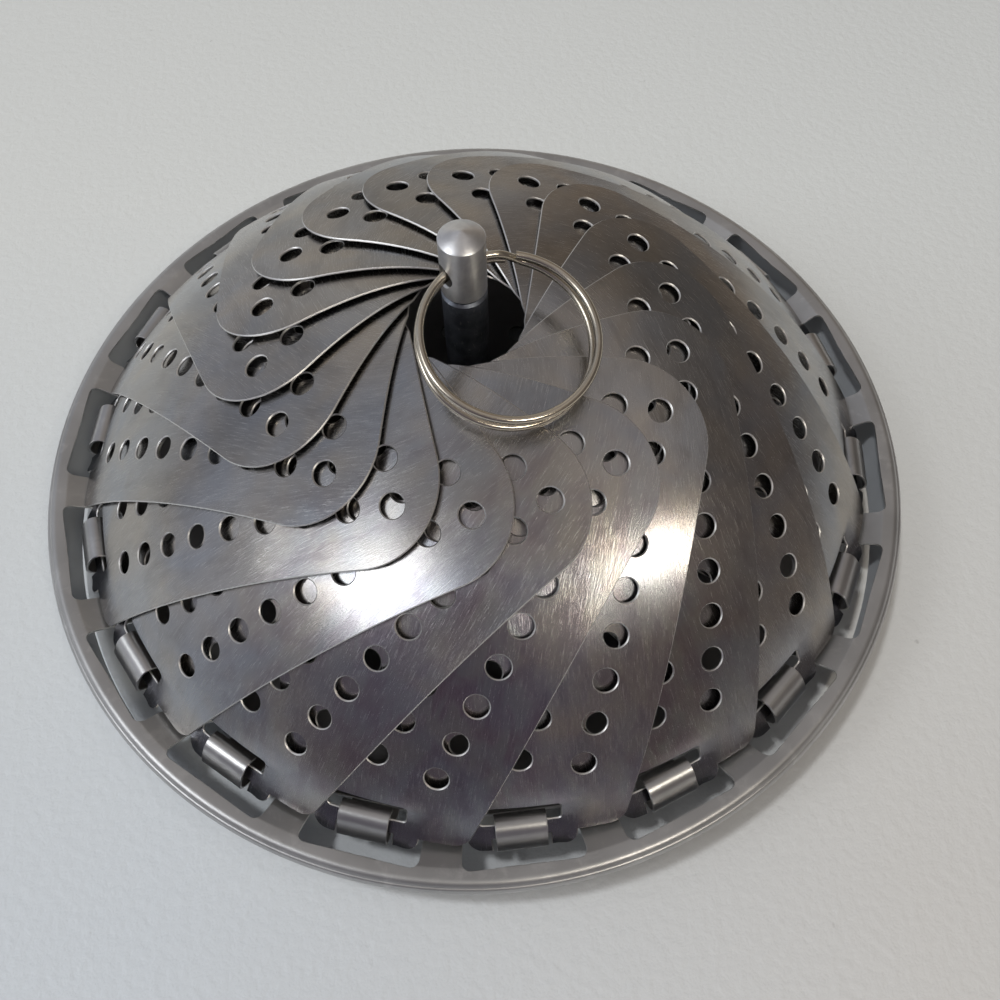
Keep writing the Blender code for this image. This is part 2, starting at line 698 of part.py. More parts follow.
def build_legs():
    strip_steel = material("leg_steel", (0.55, 0.55, 0.53), 0.40)
    bracket_steel = material("bracket_steel", (0.50, 0.50, 0.48), 0.45)
    pin_steel = material("pin_steel", (0.60, 0.59, 0.57), 0.35)
    floor_top = FLOOR_HEIGHT + DISH_SHEET / 2
    plate_top = FLOOR_HEIGHT - DISH_SHEET / 2 - FIT_GAP
    plate_foot = plate_top - BRACKET_SHEET
    ear_inner = LEG_HALF_WIDTH + FIT_GAP
    ear_outer = ear_inner + BRACKET_SHEET
    head_inner = ear_outer + FIT_GAP
    leg = leg_mesh()
    pin = turned_mesh("leg_pin", (
        (0, -head_inner - PIN_HEAD),
        (PIN_HEAD_RADIUS, -head_inner - PIN_HEAD),
        (PIN_HEAD_RADIUS, -head_inner),
        (PIN_RADIUS, -head_inner),
        (PIN_RADIUS, head_inner),
        (PIN_HEAD_RADIUS, head_inner),
        (PIN_HEAD_RADIUS, head_inner + PIN_HEAD),
        (0, head_inner + PIN_HEAD),
    ), 12)
    rivet = turned_mesh("leg_rivet", (
        (0, plate_foot - FIT_GAP - RIVET_HEAD),
        (RIVET_HEAD_RADIUS, plate_foot - FIT_GAP - RIVET_HEAD),
        (RIVET_HEAD_RADIUS, plate_foot - FIT_GAP),
        (RIVET_RADIUS, plate_foot - FIT_GAP),
        (RIVET_RADIUS, floor_top + FIT_GAP),
        (RIVET_HEAD_RADIUS, floor_top + FIT_GAP),
        (RIVET_HEAD_RADIUS, floor_top + FIT_GAP + RIVET_HEAD),
        (0, floor_top + FIT_GAP + RIVET_HEAD),
    ), 12)
    plate_corner = (EAR_HALF, ear_outer, plate_top)
    plate = block_mesh("leg_bracket", (-BRACKET_LENGTH, -ear_outer, plate_foot), plate_corner)
    ears_corner = (EAR_HALF, ear_outer, plate_top - BRACKET_SHEET / 2)
    ears = block_mesh("bracket_ears", (-EAR_HALF, -ear_outer, 0), ears_corner)
    gap_length = EAR_HALF + OVERRUN
    gap_corner = (gap_length, ear_inner, plate_foot)
    gap = block_mesh("bracket_gap", (-gap_length, -ear_inner, -OVERRUN), gap_corner)
    bore = turned_mesh("bracket_bore", (
        (0, -ear_outer - OVERRUN),
        (PIN_RADIUS + FIT_GAP, -ear_outer - OVERRUN),
        (PIN_RADIUS + FIT_GAP, ear_outer + OVERRUN),
        (0, ear_outer + OVERRUN),
    ), 12)
    drill = turned_mesh("rivet_drill", (
        (0, plate_foot - OVERRUN),
        (RIVET_RADIUS + FIT_GAP, plate_foot - OVERRUN),
        (RIVET_RADIUS + FIT_GAP, plate_top + OVERRUN),
        (0, plate_top + OVERRUN),
    ), 12)
    for i in range(LEG_COUNT):
        turn = Matrix.Rotation(math.radians(FIRST_LEG_DEG + 360 * i / LEG_COUNT), 4, "Z")
        foot = turn @ Matrix.Translation((LEG_AXIS_RADIUS, 0, 0))
        axis = foot @ Matrix.Translation((0, 0, EYE_RADIUS))
        across = axis @ Matrix.Rotation(math.pi / 2, 4, "X")
        riveted = turn @ Matrix.Translation((LEG_AXIS_RADIUS - RIVET_INSET, 0, 0))
        place(f"leg_{i + 1}", leg, strip_steel, axis, smooth_deg=30)
        place(f"leg_pin_{i + 1}", pin, pin_steel, across, smooth_deg=30)
        place(f"leg_rivet_{i + 1}", rivet, pin_steel, riveted, smooth_deg=30)
        bracket = place(f"leg_bracket_{i + 1}", plate, bracket_steel, foot)
        combine(bracket, tool(f"bracket_ears_{i + 1}", ears, foot), "UNION")
        combine(bracket, tool(f"bracket_gap_{i + 1}", gap, foot), "DIFFERENCE")
        combine(bracket, tool(f"bracket_bore_{i + 1}", bore, across), "DIFFERENCE")
        combine(bracket, tool(f"rivet_drill_{i + 1}", drill, riveted), "DIFFERENCE")


for old in list(bpy.data.objects):
    bpy.data.objects.remove(old)
build_dish()
build_petals()
build_post()
build_ring()
build_legs()
print("petal hinge radius and height", HINGE_RADIUS, HINGE_HEIGHT)
print("cross hole height", CROSS_HOLE_HEIGHT, "ring tilt", math.degrees(ring_tilt()))
print("dome radius and centre", DOME_RADIUS, DOME_CENTRE, "petal length", PETAL_LENGTH)
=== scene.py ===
# Folding steamer basket, closed, on a pale table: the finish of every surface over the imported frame.
# Lengths are in metres, and in the materials' patterns in millimetres.
import math

import bmesh
import bpy
import numpy as np
from mathutils import Euler, Matrix, Vector
from mathutils.geometry import delaunay_2d_cdt


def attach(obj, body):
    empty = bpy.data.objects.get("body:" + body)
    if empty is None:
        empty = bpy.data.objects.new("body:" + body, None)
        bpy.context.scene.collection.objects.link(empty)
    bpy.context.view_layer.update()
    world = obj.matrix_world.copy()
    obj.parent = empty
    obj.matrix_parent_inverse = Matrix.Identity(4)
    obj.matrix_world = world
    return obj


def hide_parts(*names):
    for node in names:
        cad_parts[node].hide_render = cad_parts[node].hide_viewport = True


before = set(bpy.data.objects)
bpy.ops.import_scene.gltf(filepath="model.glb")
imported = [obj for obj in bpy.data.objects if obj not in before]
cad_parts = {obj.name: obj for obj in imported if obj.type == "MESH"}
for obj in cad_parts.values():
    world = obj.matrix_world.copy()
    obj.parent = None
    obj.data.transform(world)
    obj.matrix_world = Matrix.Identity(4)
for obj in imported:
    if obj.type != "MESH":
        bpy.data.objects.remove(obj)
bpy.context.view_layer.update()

# The hinge line, and the dome that the petals lie on
dome = {
    "petals": 18,
    "firstDeg": -186.9,
    "hingeRadius": 0.0615,
    "hingeHeight": 0.0125,
    "rise": 0.0339,
    "barSink": 0.00015,
}
stepDeg = 360 / dome["petals"]
millimetre = 0.001


def domeShape():
    # Sphere radius, height of its centre, and the tilt of the hinge line as seen from that centre. The
    # bars lie a little under the sphere, which moves the sphere a little, so this is worked out by steps.
    footRadius = dome["hingeRadius"]
    footHeight = dome["hingeHeight"]
    for _ in range(20):
        radius = (footRadius ** 2 + dome["rise"] ** 2) / (2 * dome["rise"])
        tilt = math.asin(footRadius / radius)
        footRadius = dome["hingeRadius"] + dome["barSink"] * math.sin(tilt)
        footHeight = dome["hingeHeight"] + dome["barSink"] * math.cos(tilt)
    return radius, footHeight + dome["rise"] - radius, math.asin(footRadius / radius)


domeRadius, domeCentre, hingeTilt = domeShape()


# A wire is a node's output. Arithmetic on wires adds the Math nodes, and numbers may stand on either side.
class Wire:
    def __init__(self, graph, socket):
        self.graph = graph
        self.socket = socket

    def math(self, operation, *values):
        places = dict(enumerate(values))
        return self.graph.node("ShaderNodeMath", {"operation": operation}, places)

    def __add__(self, other):
        return self.math("ADD", self, other)

    def __radd__(self, other):
        return self.math("ADD", other, self)

    def __sub__(self, other):
        return self.math("SUBTRACT", self, other)

    def __rsub__(self, other):
        return self.math("SUBTRACT", other, self)

    def __mul__(self, other):
        return self.math("MULTIPLY", self, other)

    def __rmul__(self, other):
        return self.math("MULTIPLY", other, self)

    def __truediv__(self, other):
        return self.math("DIVIDE", self, other)

    def __rtruediv__(self, other):
        return self.math("DIVIDE", other, self)

    def sine(self):
        return self.math("SINE", self)

    def cosine(self):
        return self.math("COSINE", self)

    def size(self):
        return self.math("ABSOLUTE", self)

    def root(self):
        return self.math("SQRT", self)

    def most(self, other):
        return self.math("MAXIMUM", self, other)

    def wrapped(self, low, high):
        return self.math("WRAP", self, low, high)


class Graph:
    def __init__(self, tree):
        self.tree = tree

    def node(self, kind, settings=None, values=None, output=0):
        made = self.tree.nodes.new(kind)
        for name, value in (settings or {}).items():
            if name == "stops":
                self.setStops(made.color_ramp, value)
            else:
                setattr(made, name, value)
        for name, value in (values or {}).items():
            self.feed(made.inputs[name], value)
        return Wire(self, made.outputs[output]) if made.outputs else made

    def setStops(self, ramp, stops):
        while len(ramp.elements) < len(stops):
            ramp.elements.new(1)
        for element, (place, shade) in zip(ramp.elements, stops):
            element.position = place
            element.color = (shade, shade, shade, 1)

    def feed(self, socket, value):
        if isinstance(value, Wire):
            self.tree.links.new(value.socket, socket)
        elif socket.type == "RGBA":
            socket.default_value = (*value, 1)
        else:
            socket.default_value = value

    def ramp(self, wire, *stops):
        return self.node("ShaderNodeValToRGB", {"stops": stops}, {"Fac": wire})

    def mix(self, factor, first, second, blend="MIX"):
        # On a Mix node set to colour, inputs 0, 6 and 7 and output 2 are the live ones
        settings = {"data_type": "RGBA", "blend_type": blend}
        return self.node("ShaderNodeMix", settings, {0: factor, 6: first, 7: second}, 2)

    def noise(self, place, scale, detail=2.0, roughness=0.5, distortion=0.0):
        values = {"Vector": place, "Scale": scale, "Detail": detail, "Roughness": roughness}
        values["Distortion"] = distortion
        return self.node("ShaderNodeTexNoise", None, values)

    def turned(self, place, degrees=0.0, stretch=(1, 1, 1), shift=(0, 0, 0)):
        turn = (0, 0, math.radians(degrees))
        values = {"Vector": place, "Location": shift, "Rotation": turn, "Scale": stretch}
        return self.node("ShaderNodeMapping", None, values)

    def vector(self, operation, values, output="Vector"):
        return self.node("ShaderNodeVectorMath", {"operation": operation}, values, output)

    def parts(self, vector):
        # The X, Y and Z of a vector
        first = self.node("ShaderNodeSeparateXYZ", None, {0: vector})
        return [Wire(self, socket) for socket in first.socket.node.outputs]

    def attribute(self, name):
        return self.node("ShaderNodeAttribute", {"attribute_name": name}, None, "Fac")

    def spot(self):
        # The place on the basket in millimetres
        where = self.node("ShaderNodeTexCoord", output="Object")
        return self.vector("SCALE", {"Vector": where, "Scale": 1 / millimetre})


# Materials
def newGraph(name):
    material = bpy.data.materials.new(name)
    material.use_nodes = True
    material.node_tree.nodes.clear()
    return material, Graph(material.node_tree)


def finishSurface(graph, shader):
    surface = graph.node("ShaderNodeBsdfPrincipled", None, shader)
    graph.node("ShaderNodeOutputMaterial", None, {"Surface": surface})


grainDepth = 0.00005  # metres, for Bump nodes


def finishMetal(graph, colour, roughness, height, bump, wave=None, metallic=1.0):
    # The grain's relief, over a wave in the sheet where it has one
    relief = {"Strength": bump, "Distance": grainDepth, "Height": height}
    if wave:
        relief["Normal"] = wave
    shader = {"Base Color": colour, "Metallic": metallic, "Roughness": roughness}
    shader["Normal"] = graph.node("ShaderNodeBump", None, relief)
    finishSurface(graph, shader)


# Hairline scuffs on the petals
scratch = {
    "directionsDeg": (14, 52, -41, 88, -12),
    "strengths": (0.9, 0.7, 0.75, 0.6, 1.0),
    "length": 0.34,
    "fineness": 5.5,
    "shift": (3.1, 7.7),
}


def scratches(graph, place):
    # Short hairlines lying in a few directions, none to one
    streaks = []
    stretch = (scratch["length"], scratch["fineness"], 1)
    for number, (degrees, strength) in enumerate(zip(scratch["directionsDeg"], scratch["strengths"])):
        shift = [step * number for step in scratch["shift"]] + [0]
        lines = graph.noise(graph.turned(place, degrees, stretch, shift), 1.0, 3.0, 0.62)
        streaks.append(graph.ramp(lines, (0.56, 0), (0.74, 1)) * strength)
    return sum(streaks[1:], streaks[0])


petalTones = {
    "steel": (0.39, 0.385, 0.38),
    "paleSteel": (0.50, 0.485, 0.465),
    "violet": (0.33, 0.205, 0.285),
    "blue": (0.25, 0.28, 0.38),
    "coolCast": (0.88, 0.93, 1.02),
    "warmCast": (1.06, 0.99, 0.90),
    "smudge": (0.25, 0.24, 0.235),
    "scuff": (0.80, 0.79, 0.77),
    # painted shade: the dark tone laid on the bar and its lugs
    "bar": (0.22, 0.225, 0.25),
    "cutEdgeHighlight": (0.86, 0.85, 0.83),
}
# How a leaf is shaded, in millimetres. On the sheet that carries the pattern the leaves lie a pitch apart.
leafShade = {
    "sheetPitch": 83.0,
    "sheetFoot": -13,
    "heatFrom": (4, -50, 22),
    "heatReach": 46,
    "grainDeg": 84,
    "smearDeg": 30,
    "roughness": 0.175,
    "bump": 0.17,
    "belly": 1.9,
    "crown": 9,
    "crownFlatness": 0.0038,
    "footReach": 25,
    "footFlatness": 0.0022,
}


def petalSteel():
    material, graph = newGraph("petalSteel")
    tones = petalTones
    sheet = graph.node("ShaderNodeUVMap", {"uv_map": "sheet"})
    grain = graph.noise(graph.turned(sheet, leafShade["grainDeg"], (0.6, 11, 1)), 1.0, 4.0, 0.6)
    speckle = graph.noise(sheet, 3.2, 3.0, 0.7)
    scuffs = scratches(graph, sheet)
    cloud = graph.noise(sheet, 0.055, 3.0, 0.55)
    smear = graph.noise(graph.turned(sheet, leafShade["smearDeg"], (1, 2.2, 1)), 0.16, 2.0, 0.5, 0.6)
    # Heat has left a faint violet and straw tint low on the near side
    near = graph.vector("DISTANCE", {0: graph.spot(), 1: leafShade["heatFrom"]}, "Value")
    heat = graph.ramp(near / leafShade["heatReach"], (0.15, 1), (1.0, 0))
    heat = heat * graph.ramp(smear, (0.42, 0), (0.68, 1))
    violet = graph.mix(heat * 0.9, tones["steel"], tones["violet"])
    blue = graph.mix(graph.ramp(cloud, (0.45, 0), (0.62, 1)) * heat * 0.8, violet, tones["blue"])
    tone = graph.mix(graph.ramp(cloud, (0.38, 0), (0.64, 1)) * 0.6, blue, tones["paleSteel"])
    drift = graph.noise(sheet, 0.075, 2.0, 0.6, 0.5)
    cast = graph.mix(graph.ramp(drift, (0.36, 0), (0.64, 1)), tones["coolCast"], tones["warmCast"])
    tinted = graph.mix(0.8, tone, cast, "MULTIPLY")
    smudged = graph.mix(graph.ramp(smear, (0.48, 0), (0.72, 1)) * 0.4, tinted, tones["smudge"])
    scuffed = graph.mix(scuffs * 0.26, smudged, tones["scuff"])
    # Painted shade darkens the bar and its lugs
    shaded = graph.mix(barPaintedShade(graph, sheet) * 0.75, scuffed, tones["bar"])
    # Painted highlight: the cut faces are lightened so the sheet's edges read as bright lines
    cut = graph.attribute("cutFace")
    bright = graph.mix(cut * 0.8, shaded, tones["cutEdgeHighlight"])
    rough = leafShade["roughness"] + 0.05 * grain + 0.08 * cloud + 0.10 * scuffs * speckle + 0.2 * cut
    height = grain * 0.5 + speckle * 0.35 + scuffs * 0.5
    finishMetal(graph, bright, rough, height, leafShade["bump"], sheetWave(graph, sheet))
    return material


def sheetWave(graph, sheet):
    # Thin pressed sheet is never quite true. Each leaf bellies in its own way and is flatter than the dome.
    wave = graph.noise(sheet, 0.034, 1.0, 0.3)
    along, across = leafPlace(graph, sheet)
    foot = (leafShade["footReach"] - along).most(0)
    aside = across - leafShade["crown"]
    crown = leafShade["crownFlatness"] * aside * aside
    height = leafShade["belly"] * wave + crown + leafShade["footFlatness"] * foot * foot
    return graph.node("ShaderNodeBump", None, {"Strength": 1.0, "Distance": millimetre, "Height": height})


def leafPlace(graph, sheet):
    # Millimetres along and across a leaf
    pitch = leafShade["sheetPitch"]
    foot = leafShade["sheetFoot"]
    along, across, _ = graph.parts(sheet)
    return along.wrapped(foot, foot + pitch), across.wrapped(-pitch / 2, pitch / 2)


def barPaintedShade(graph, sheet):
    # Painted shade: the stamped bar and its lugs, sunk behind the petal's shoulders, are darkened
    along, across = leafPlace(graph, sheet)
    onBar = graph.ramp(along / 10, (0.36, 1), (0.46, 0))
    return onBar * graph.ramp(across.size() / 10, (0.72, 1), (0.95, 0))


# Rolled sheet and drawn wire: light and dark tone, roughness, bump, and how dull its underside is, which
# has kept the scale from the rolling mill
steels = {
    "dishSteel": ((0.55, 0.545, 0.54), (0.40, 0.395, 0.39), 0.36, 0.2, 0.75),
    "curlSteel": ((0.62, 0.61, 0.60), (0.45, 0.45, 0.45), 0.30, 0.3, 0.0),
    "ringNickel": ((0.72, 0.65, 0.53), (0.52, 0.47, 0.39), 0.17, 0.15, 0.0),
    "smallParts": ((0.58, 0.57, 0.55), (0.42, 0.41, 0.40), 0.38, 0.2, 0.0),
}
wearAndPaintedLightTones = {
    "rubbed": (0.78, 0.77, 0.75),
    "cutEdgeHighlight": (0.84, 0.83, 0.81),
    "scale": (0.60, 0.63, 0.67),
    # painted shade for the floor round the post
    "paintedFloorShade": (0.13, 0.13, 0.14),
    "nicked": (0.86, 0.86, 0.85),
}
floorShadeSpan = 60  # millimetres from the post


def plainSteel(name):
    # A tone that drifts, fine grain and a few hairlines
    material, graph = newGraph(name)
    light, dark, roughness, bump, dull = steels[name]
    spot = graph.spot()
    drift = graph.noise(spot, 0.09, 3.0, 0.55)
    worn = graph.noise(spot, 0.35, 4.0, 0.6, 0.4)
    grain = graph.noise(spot, 5.0, 3.0, 0.6)
    colour = graph.mix(graph.ramp(drift, (0.25, 0), (0.75, 1)), dark, light)
    rubbed = graph.mix(graph.ramp(worn, (0.55, 0), (0.75, 1)) * 0.35, colour, wearAndPaintedLightTones["rubbed"])
    # Painted highlight: the cut faces are lightened so the edges read as bright lines
    edged = graph.mix(graph.attribute("cutFace") * 0.7, rubbed, wearAndPaintedLightTones["cutEdgeHighlight"])
    scale = graph.attribute("underFace") * dull
    scaled = graph.mix(scale, edged, wearAndPaintedLightTones["scale"])
    # Painted shade: the floor round the post, under the closed petals, is darkened
    reach = graph.vector("LENGTH", {0: graph.vector("MULTIPLY", {0: spot, 1: (1, 1, 0)})}, "Value")
    paintedFloorShade = graph.ramp(reach / floorShadeSpan, (0.62, dull), (0.86, 0))
    darkened = graph.mix(paintedFloorShade, scaled, wearAndPaintedLightTones["paintedFloorShade"])
    rough = roughness - 0.06 + 0.12 * grain + 0.06 * worn
    finishMetal(graph, darkened, rough, grain * 0.7 + worn * 0.4, bump, None, 1 - scale - dull * 0.1)
    return material


# Bar turned on a lathe: light and dark tone, roughness, bump, and the pitch of the tool's marks
turnedBars = {
    "capMetal": ((0.84, 0.84, 0.84), (0.70, 0.70, 0.71), 0.33, 0.35, 0.12),
    # Painted shade: the stem's tones are dark because it stands inside the closed dome, where shade falls
    "stemMetalPaintedShade": ((0.22, 0.24, 0.28), (0.12, 0.13, 0.155), 0.40, 0.3, 0.3),
}


def turnedMetal(name):
    # Lathe marks run round the bar, so they change with height alone
    material, graph = newGraph(name)
    light, dark, roughness, bump, markPitch = turnedBars[name]
    spot = graph.spot()
    marks = graph.noise(graph.turned(spot, 0, (0.04, 0.04, 1 / markPitch)), 1.0, 3.0, 0.65)
    blotch = graph.noise(spot, 0.45, 3.0, 0.6, 0.3)
    nicks = graph.noise(graph.turned(spot, 25, (1, 4, 0.6)), 1.6, 3.0, 0.65)
    colour = graph.mix(graph.ramp(blotch, (0.38, 0), (0.66, 1)), light, dark)
    nicked = graph.mix(graph.ramp(nicks, (0.60, 0), (0.72, 1)) * 0.4, colour, wearAndPaintedLightTones["nicked"])
    rough = roughness - 0.05 + 0.12 * marks + 0.05 * blotch
    finishMetal(graph, nicked, rough, marks + nicks * 0.5, bump)
    return material


# Flat work: outlines with round corners, and plates cut from them
def polar(radius, degrees):
    return Vector((radius * math.cos(math.radians(degrees)), radius * math.sin(math.radians(degrees))))


def circle(centre, radius, sides, startDeg=0.0):
    return [Vector(centre) + polar(radius, startDeg + 360 * i / sides) for i in range(sides)]


def cornerArc(before, corner, after, radius, steps):
    corner = Vector(corner)
    inward = (Vector(before) - corner).normalized()
    onward = (Vector(after) - corner).normalized()
    half = inward.angle(onward) / 2
    if not steps or half > math.radians(89.5):
        return [corner]
    reach = radius / math.tan(half)
    middle = corner + (inward + onward).normalized() * radius / math.sin(half)
    start = corner + inward * reach - middle
    sweep = start.angle_signed(corner + onward * reach - middle)
    return [middle + Matrix.Rotation(-sweep * j / steps, 2) @ start for j in range(steps + 1)]


def roundedLoop(corners):
    points = []
    count = len(corners)
    for i, (corner, radius, steps) in enumerate(corners):
        points += cornerArc(corners[i - 1][0], corner, corners[(i + 1) % count][0], radius, steps)
    return points


def divided(loop, longest):
    points = []
    for a, b in zip(loop, loop[1:] + loop[:1]):
        pieces = max(1, math.ceil((b - a).length / longest))
        points += [a.lerp(b, j / pieces) for j in range(pieces)]
    return points


def leftOf(along):
    # Unit vectors to the left of the ways given
    along = along / np.linalg.norm(along, axis=1)[:, None]
    return np.c_[-along[:, 1], along[:, 0]]


def pathReach(path):
    # How far along a path each of its points lies
    return np.r_[0, np.cumsum(np.linalg.norm(np.diff(path, axis=0), axis=1))]


def between(reach, stops, values):
    return np.c_[np.interp(reach, stops, values[:, 0]), np.interp(reach, stops, values[:, 1])]


sharpestMitre = 0.8  # square of the sum of two unit normals, below which a mitre grows no longer


def loopNormals(loop):
    # Normals to the left of the way the loop runs, mitred at its corners
    points = np.array(loop)
    left = leftOf(np.roll(points, -1, 0) - points)
    both = left + np.roll(left, 1, 0)
    both /= np.maximum((both ** 2).sum(1), sharpestMitre)[:, None] / 2
    return both


def insideMask(points, loop):
    hit = np.zeros(len(points), bool)
    for a, b in zip(loop, loop[1:] + loop[:1]):
        crosses = (a[1] > points[:, 1]) != (b[1] > points[:, 1])
        rise = b[1] - a[1] or 1
        hit ^= crosses & (points[:, 0] < (b[0] - a[0]) * (points[:, 1] - a[1]) / rise + a[0])
    return hit


def edgeGap(points, loop):
    nearest = np.full(len(points), np.inf)
    for a, b in zip(loop, loop[1:] + loop[:1]):
        a = np.array(a)
        along = np.array(b) - a
        share = np.clip((points - a) @ along / (along @ along), 0, 1)
        nearest = np.minimum(nearest, np.linalg.norm(points - a - share[:, None] * along, axis=1))
    return nearest


def clearOf(holes, points, gap):
    for hole in holes:
        points = points[~insideMask(points, hole)]
        points = points[edgeGap(points, hole) > gap]
    return points


weldShare = 1e-8  # of the plate's size
sliverShare = 0.0001  # of its longest side squared, below which a triangle is dropped


def cutPlate(outer, holes, loose, seams, edge):
    # Flat triangles between outer and the holes. outer runs counterclockwise and each hole clockwise, so
    # their left side is the plate. Each loop is drawn in by the width of the broken edge, which comes
    # back as a push outward at each point of the rim.
    points = []
    links = []
    pushes = {}
    drawn = []
    for loop in [outer, *holes]:
        first = len(points)
        normals = loopNormals(loop)
        drawn.append([Vector(np.array(point) + normal * edge) for point, normal in zip(loop, normals)])
        pushes.update({first + i: -normal * edge for i, normal in enumerate(normals)})
        points += drawn[-1]
        links += [(first + i, first + (i + 1) % len(loop)) for i in range(len(loop))]
    for seam in seams:
        first = len(points)
        points += seam
        links += [(first + i, first + (i + 1) % len(seam)) for i in range(len(seam))]
    points += [Vector(point) for point in loose]
    scale = max(point.length for point in points)
    shrunk = [point / scale for point in points]
    verts, _, faces, origins, *_ = delaunay_2d_cdt(shrunk, links, [], 0, weldShare, True)
    flat = np.array(verts) * scale
    faces = np.array(faces)
    middles = flat[faces].mean(1)
    keep = insideMask(middles, drawn[0])
    for hole in drawn[1:]:
        low = np.array(hole).min(0)
        high = np.array(hole).max(0)
        near = np.flatnonzero(((middles > low) & (middles < high)).all(1))
        keep[near[insideMask(middles[near], hole)]] = False
    a, b, c = (flat[faces[:, i]] for i in range(3))
    turn = (b[:, 0] - a[:, 0]) * (c[:, 1] - a[:, 1]) - (b[:, 1] - a[:, 1]) * (c[:, 0] - a[:, 0])
    longest = np.maximum(((b - a) ** 2).sum(1), ((c - a) ** 2).sum(1))
    keep &= np.abs(turn) > longest * sliverShare
    faces = np.where(turn[:, None] > 0, faces, faces[:, ::-1])[keep]
    push = np.zeros((len(flat), 2))
    for index, sources in enumerate(origins):
        for source in sources:
            if source in pushes:
                push[index] = pushes[source]
    return flat, faces, push


def rimEdges(faces):
    found = {}
    for face in faces:
        for a, b in ((face[0], face[1]), (face[1], face[2]), (face[2], face[0])):
            if (b, a) in found:
                del found[(b, a)]
            else:
                found[(a, b)] = True
    return list(found)


def closedSheet(name, flat, faces, push, thickness, edge, lay):
    # lay(points, heights) puts flat points on the finished surface, at a height over its middle.
    triangles = [tuple(face) for face in faces.tolist()]
    rim = rimEdges(triangles)
    rimPoints = sorted({index for pair in rim for index in pair})
    order = {index: i for i, index in enumerate(rimPoints)}
    count = len(flat)
    half = thickness / 2
    outer = flat[rimPoints] + push[rimPoints]
    positions = np.concatenate((
        lay(flat, np.full(count, half)),
        lay(flat, np.full(count, -half)),
        lay(outer, np.full(len(outer), half - edge)),
        lay(outer, np.full(len(outer), edge - half)),
    ))
    flats = np.concatenate((flat, flat, outer, outer))
    solid = triangles + [tuple(index + count for index in reversed(face)) for face in triangles]
    for a, b in rim:
        upperA, upperB = 2 * count + order[a], 2 * count + order[b]
        lowerA, lowerB = upperA + len(outer), upperB + len(outer)
        solid.append((b, a, upperA, upperB))
        solid.append((upperB, upperA, lowerA, lowerB))
        solid.append((lowerB, lowerA, a + count, b + count))
    mesh = bpy.data.meshes.new(name)
    mesh.from_pydata(positions.tolist(), [], solid)
    # The upper side's faces come first, then the lower side's, then the edge's
    layers = np.arange(len(solid)) // len(faces)
    for title, marked in (("cutFace", layers > 1), ("underFace", layers == 1)):
        mesh.attributes.new(title, "FLOAT", "FACE").data.foreach_set("value", marked.astype(np.float32))
    layer = mesh.uv_layers.new(name="sheet")
    corners = np.empty(len(mesh.loops), int)
    mesh.loops.foreach_get("vertex_index", corners)
    layer.data.foreach_set("uv", (flats[corners] / millimetre).ravel())
    return mesh


# Meshes and objects
def meshFrom(build, name):
    mesh = bpy.data.meshes.new(name)
    build.to_mesh(mesh)
    build.free()
    return mesh


def linked(name, data):
    made = bpy.data.objects.new(name, data)
    bpy.context.scene.collection.objects.link(made)
    return made


def shapedMesh(blank, name):
    # What a blank's modifiers make of it, as a plain mesh
    mesh = bpy.data.meshes.new_from_object(blank.evaluated_get(bpy.context.evaluated_depsgraph_get()))
    mesh.name = name
    return mesh


def cleanMesh(mesh, sharpDeg):
    # Drops points that no face uses, and shades the mesh smooth up to an angle
    clean = bmesh.new()
    clean.from_mesh(mesh)
    bmesh.ops.delete(clean, geom=[v for v in clean.verts if not v.link_faces], context="VERTS")
    clean.to_mesh(mesh)
    clean.free()
    mesh.shade_smooth()
    mesh.set_sharp_from_angle(angle=math.radians(sharpDeg))


def addPiece(name, mesh, material, body, nodes=()):
    piece = linked(name, mesh)
    mesh.materials.clear()
    mesh.materials.append(material)
    if nodes:
        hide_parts(*nodes)
    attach(piece, body)


# Petals
petal = {
    "sheet": 0.0004,
    "brokenEdge": 0.00014,
    "barHalfDepth": 0.0012,
    "lugDepth": 0.0030,
    "lugHalf": 0.0077,
    "lugCorner": 0.0021,
    "notchHalf": 0.0040,
    "shoulderDepth": 0.00085,
    "slotEnd": 0.0039,
    "slotHalf": 0.0056,
    "slotCorner": 0.0005,
    "shoulderRight": 0.0142,
    "shoulderLeft": 0.0120,
    "shoulderCorner": 0.0026,
    "rightEdgeDeg": 16.8,
    "leftEdgeDeg": 8.75,
    "centreOpening": 0.0079,
    "freeEdgeBow": 0.0026,
    "freeCorner": 0.0110,
    "holeRadius": 0.00165,
    "holeSides": 28,
    "lugSteps": 8,
    "shoulderSteps": 10,
    "freeSteps": 30,
    "slotSteps": 5,
    "longestEdge": 0.0012,
    "sharpDeg": 30,
}
# The triangles between the outlines: a grid of points this far apart, kept clear of the outlines
petalGrid = {
    "pitch": 0.0021,
    "rowShare": 0.866,
    "foot": -0.002,
    "halfWidth": 0.034,
    "rimClearShare": 0.35,
    "holeClearShare": 0.3,
}

# Rows of holes: first hole (along, across), step to the next, and how many
holeRows = {
    "outer": ((0.0101, 0.0090), (0.0058, 0.0018), 9),
    "inner": ((0.0176, 0.0035), (0.0057, 0.00198), 8),
    "first": ((0.0118, 0.0006), (0.0058, 0), 1),
    "middle": ((0.0245, -0.0022), (0.0058, 0), 7),
    "filler": ((0.0410, 0.0060), (0.0058, 0.0011), 3),
    "left": ((0.0144, -0.0068), (0.0058, -0.0010), 8),
    "leftFiller": ((0.0384, -0.0078), (0.0058, -0.0004), 3),
}


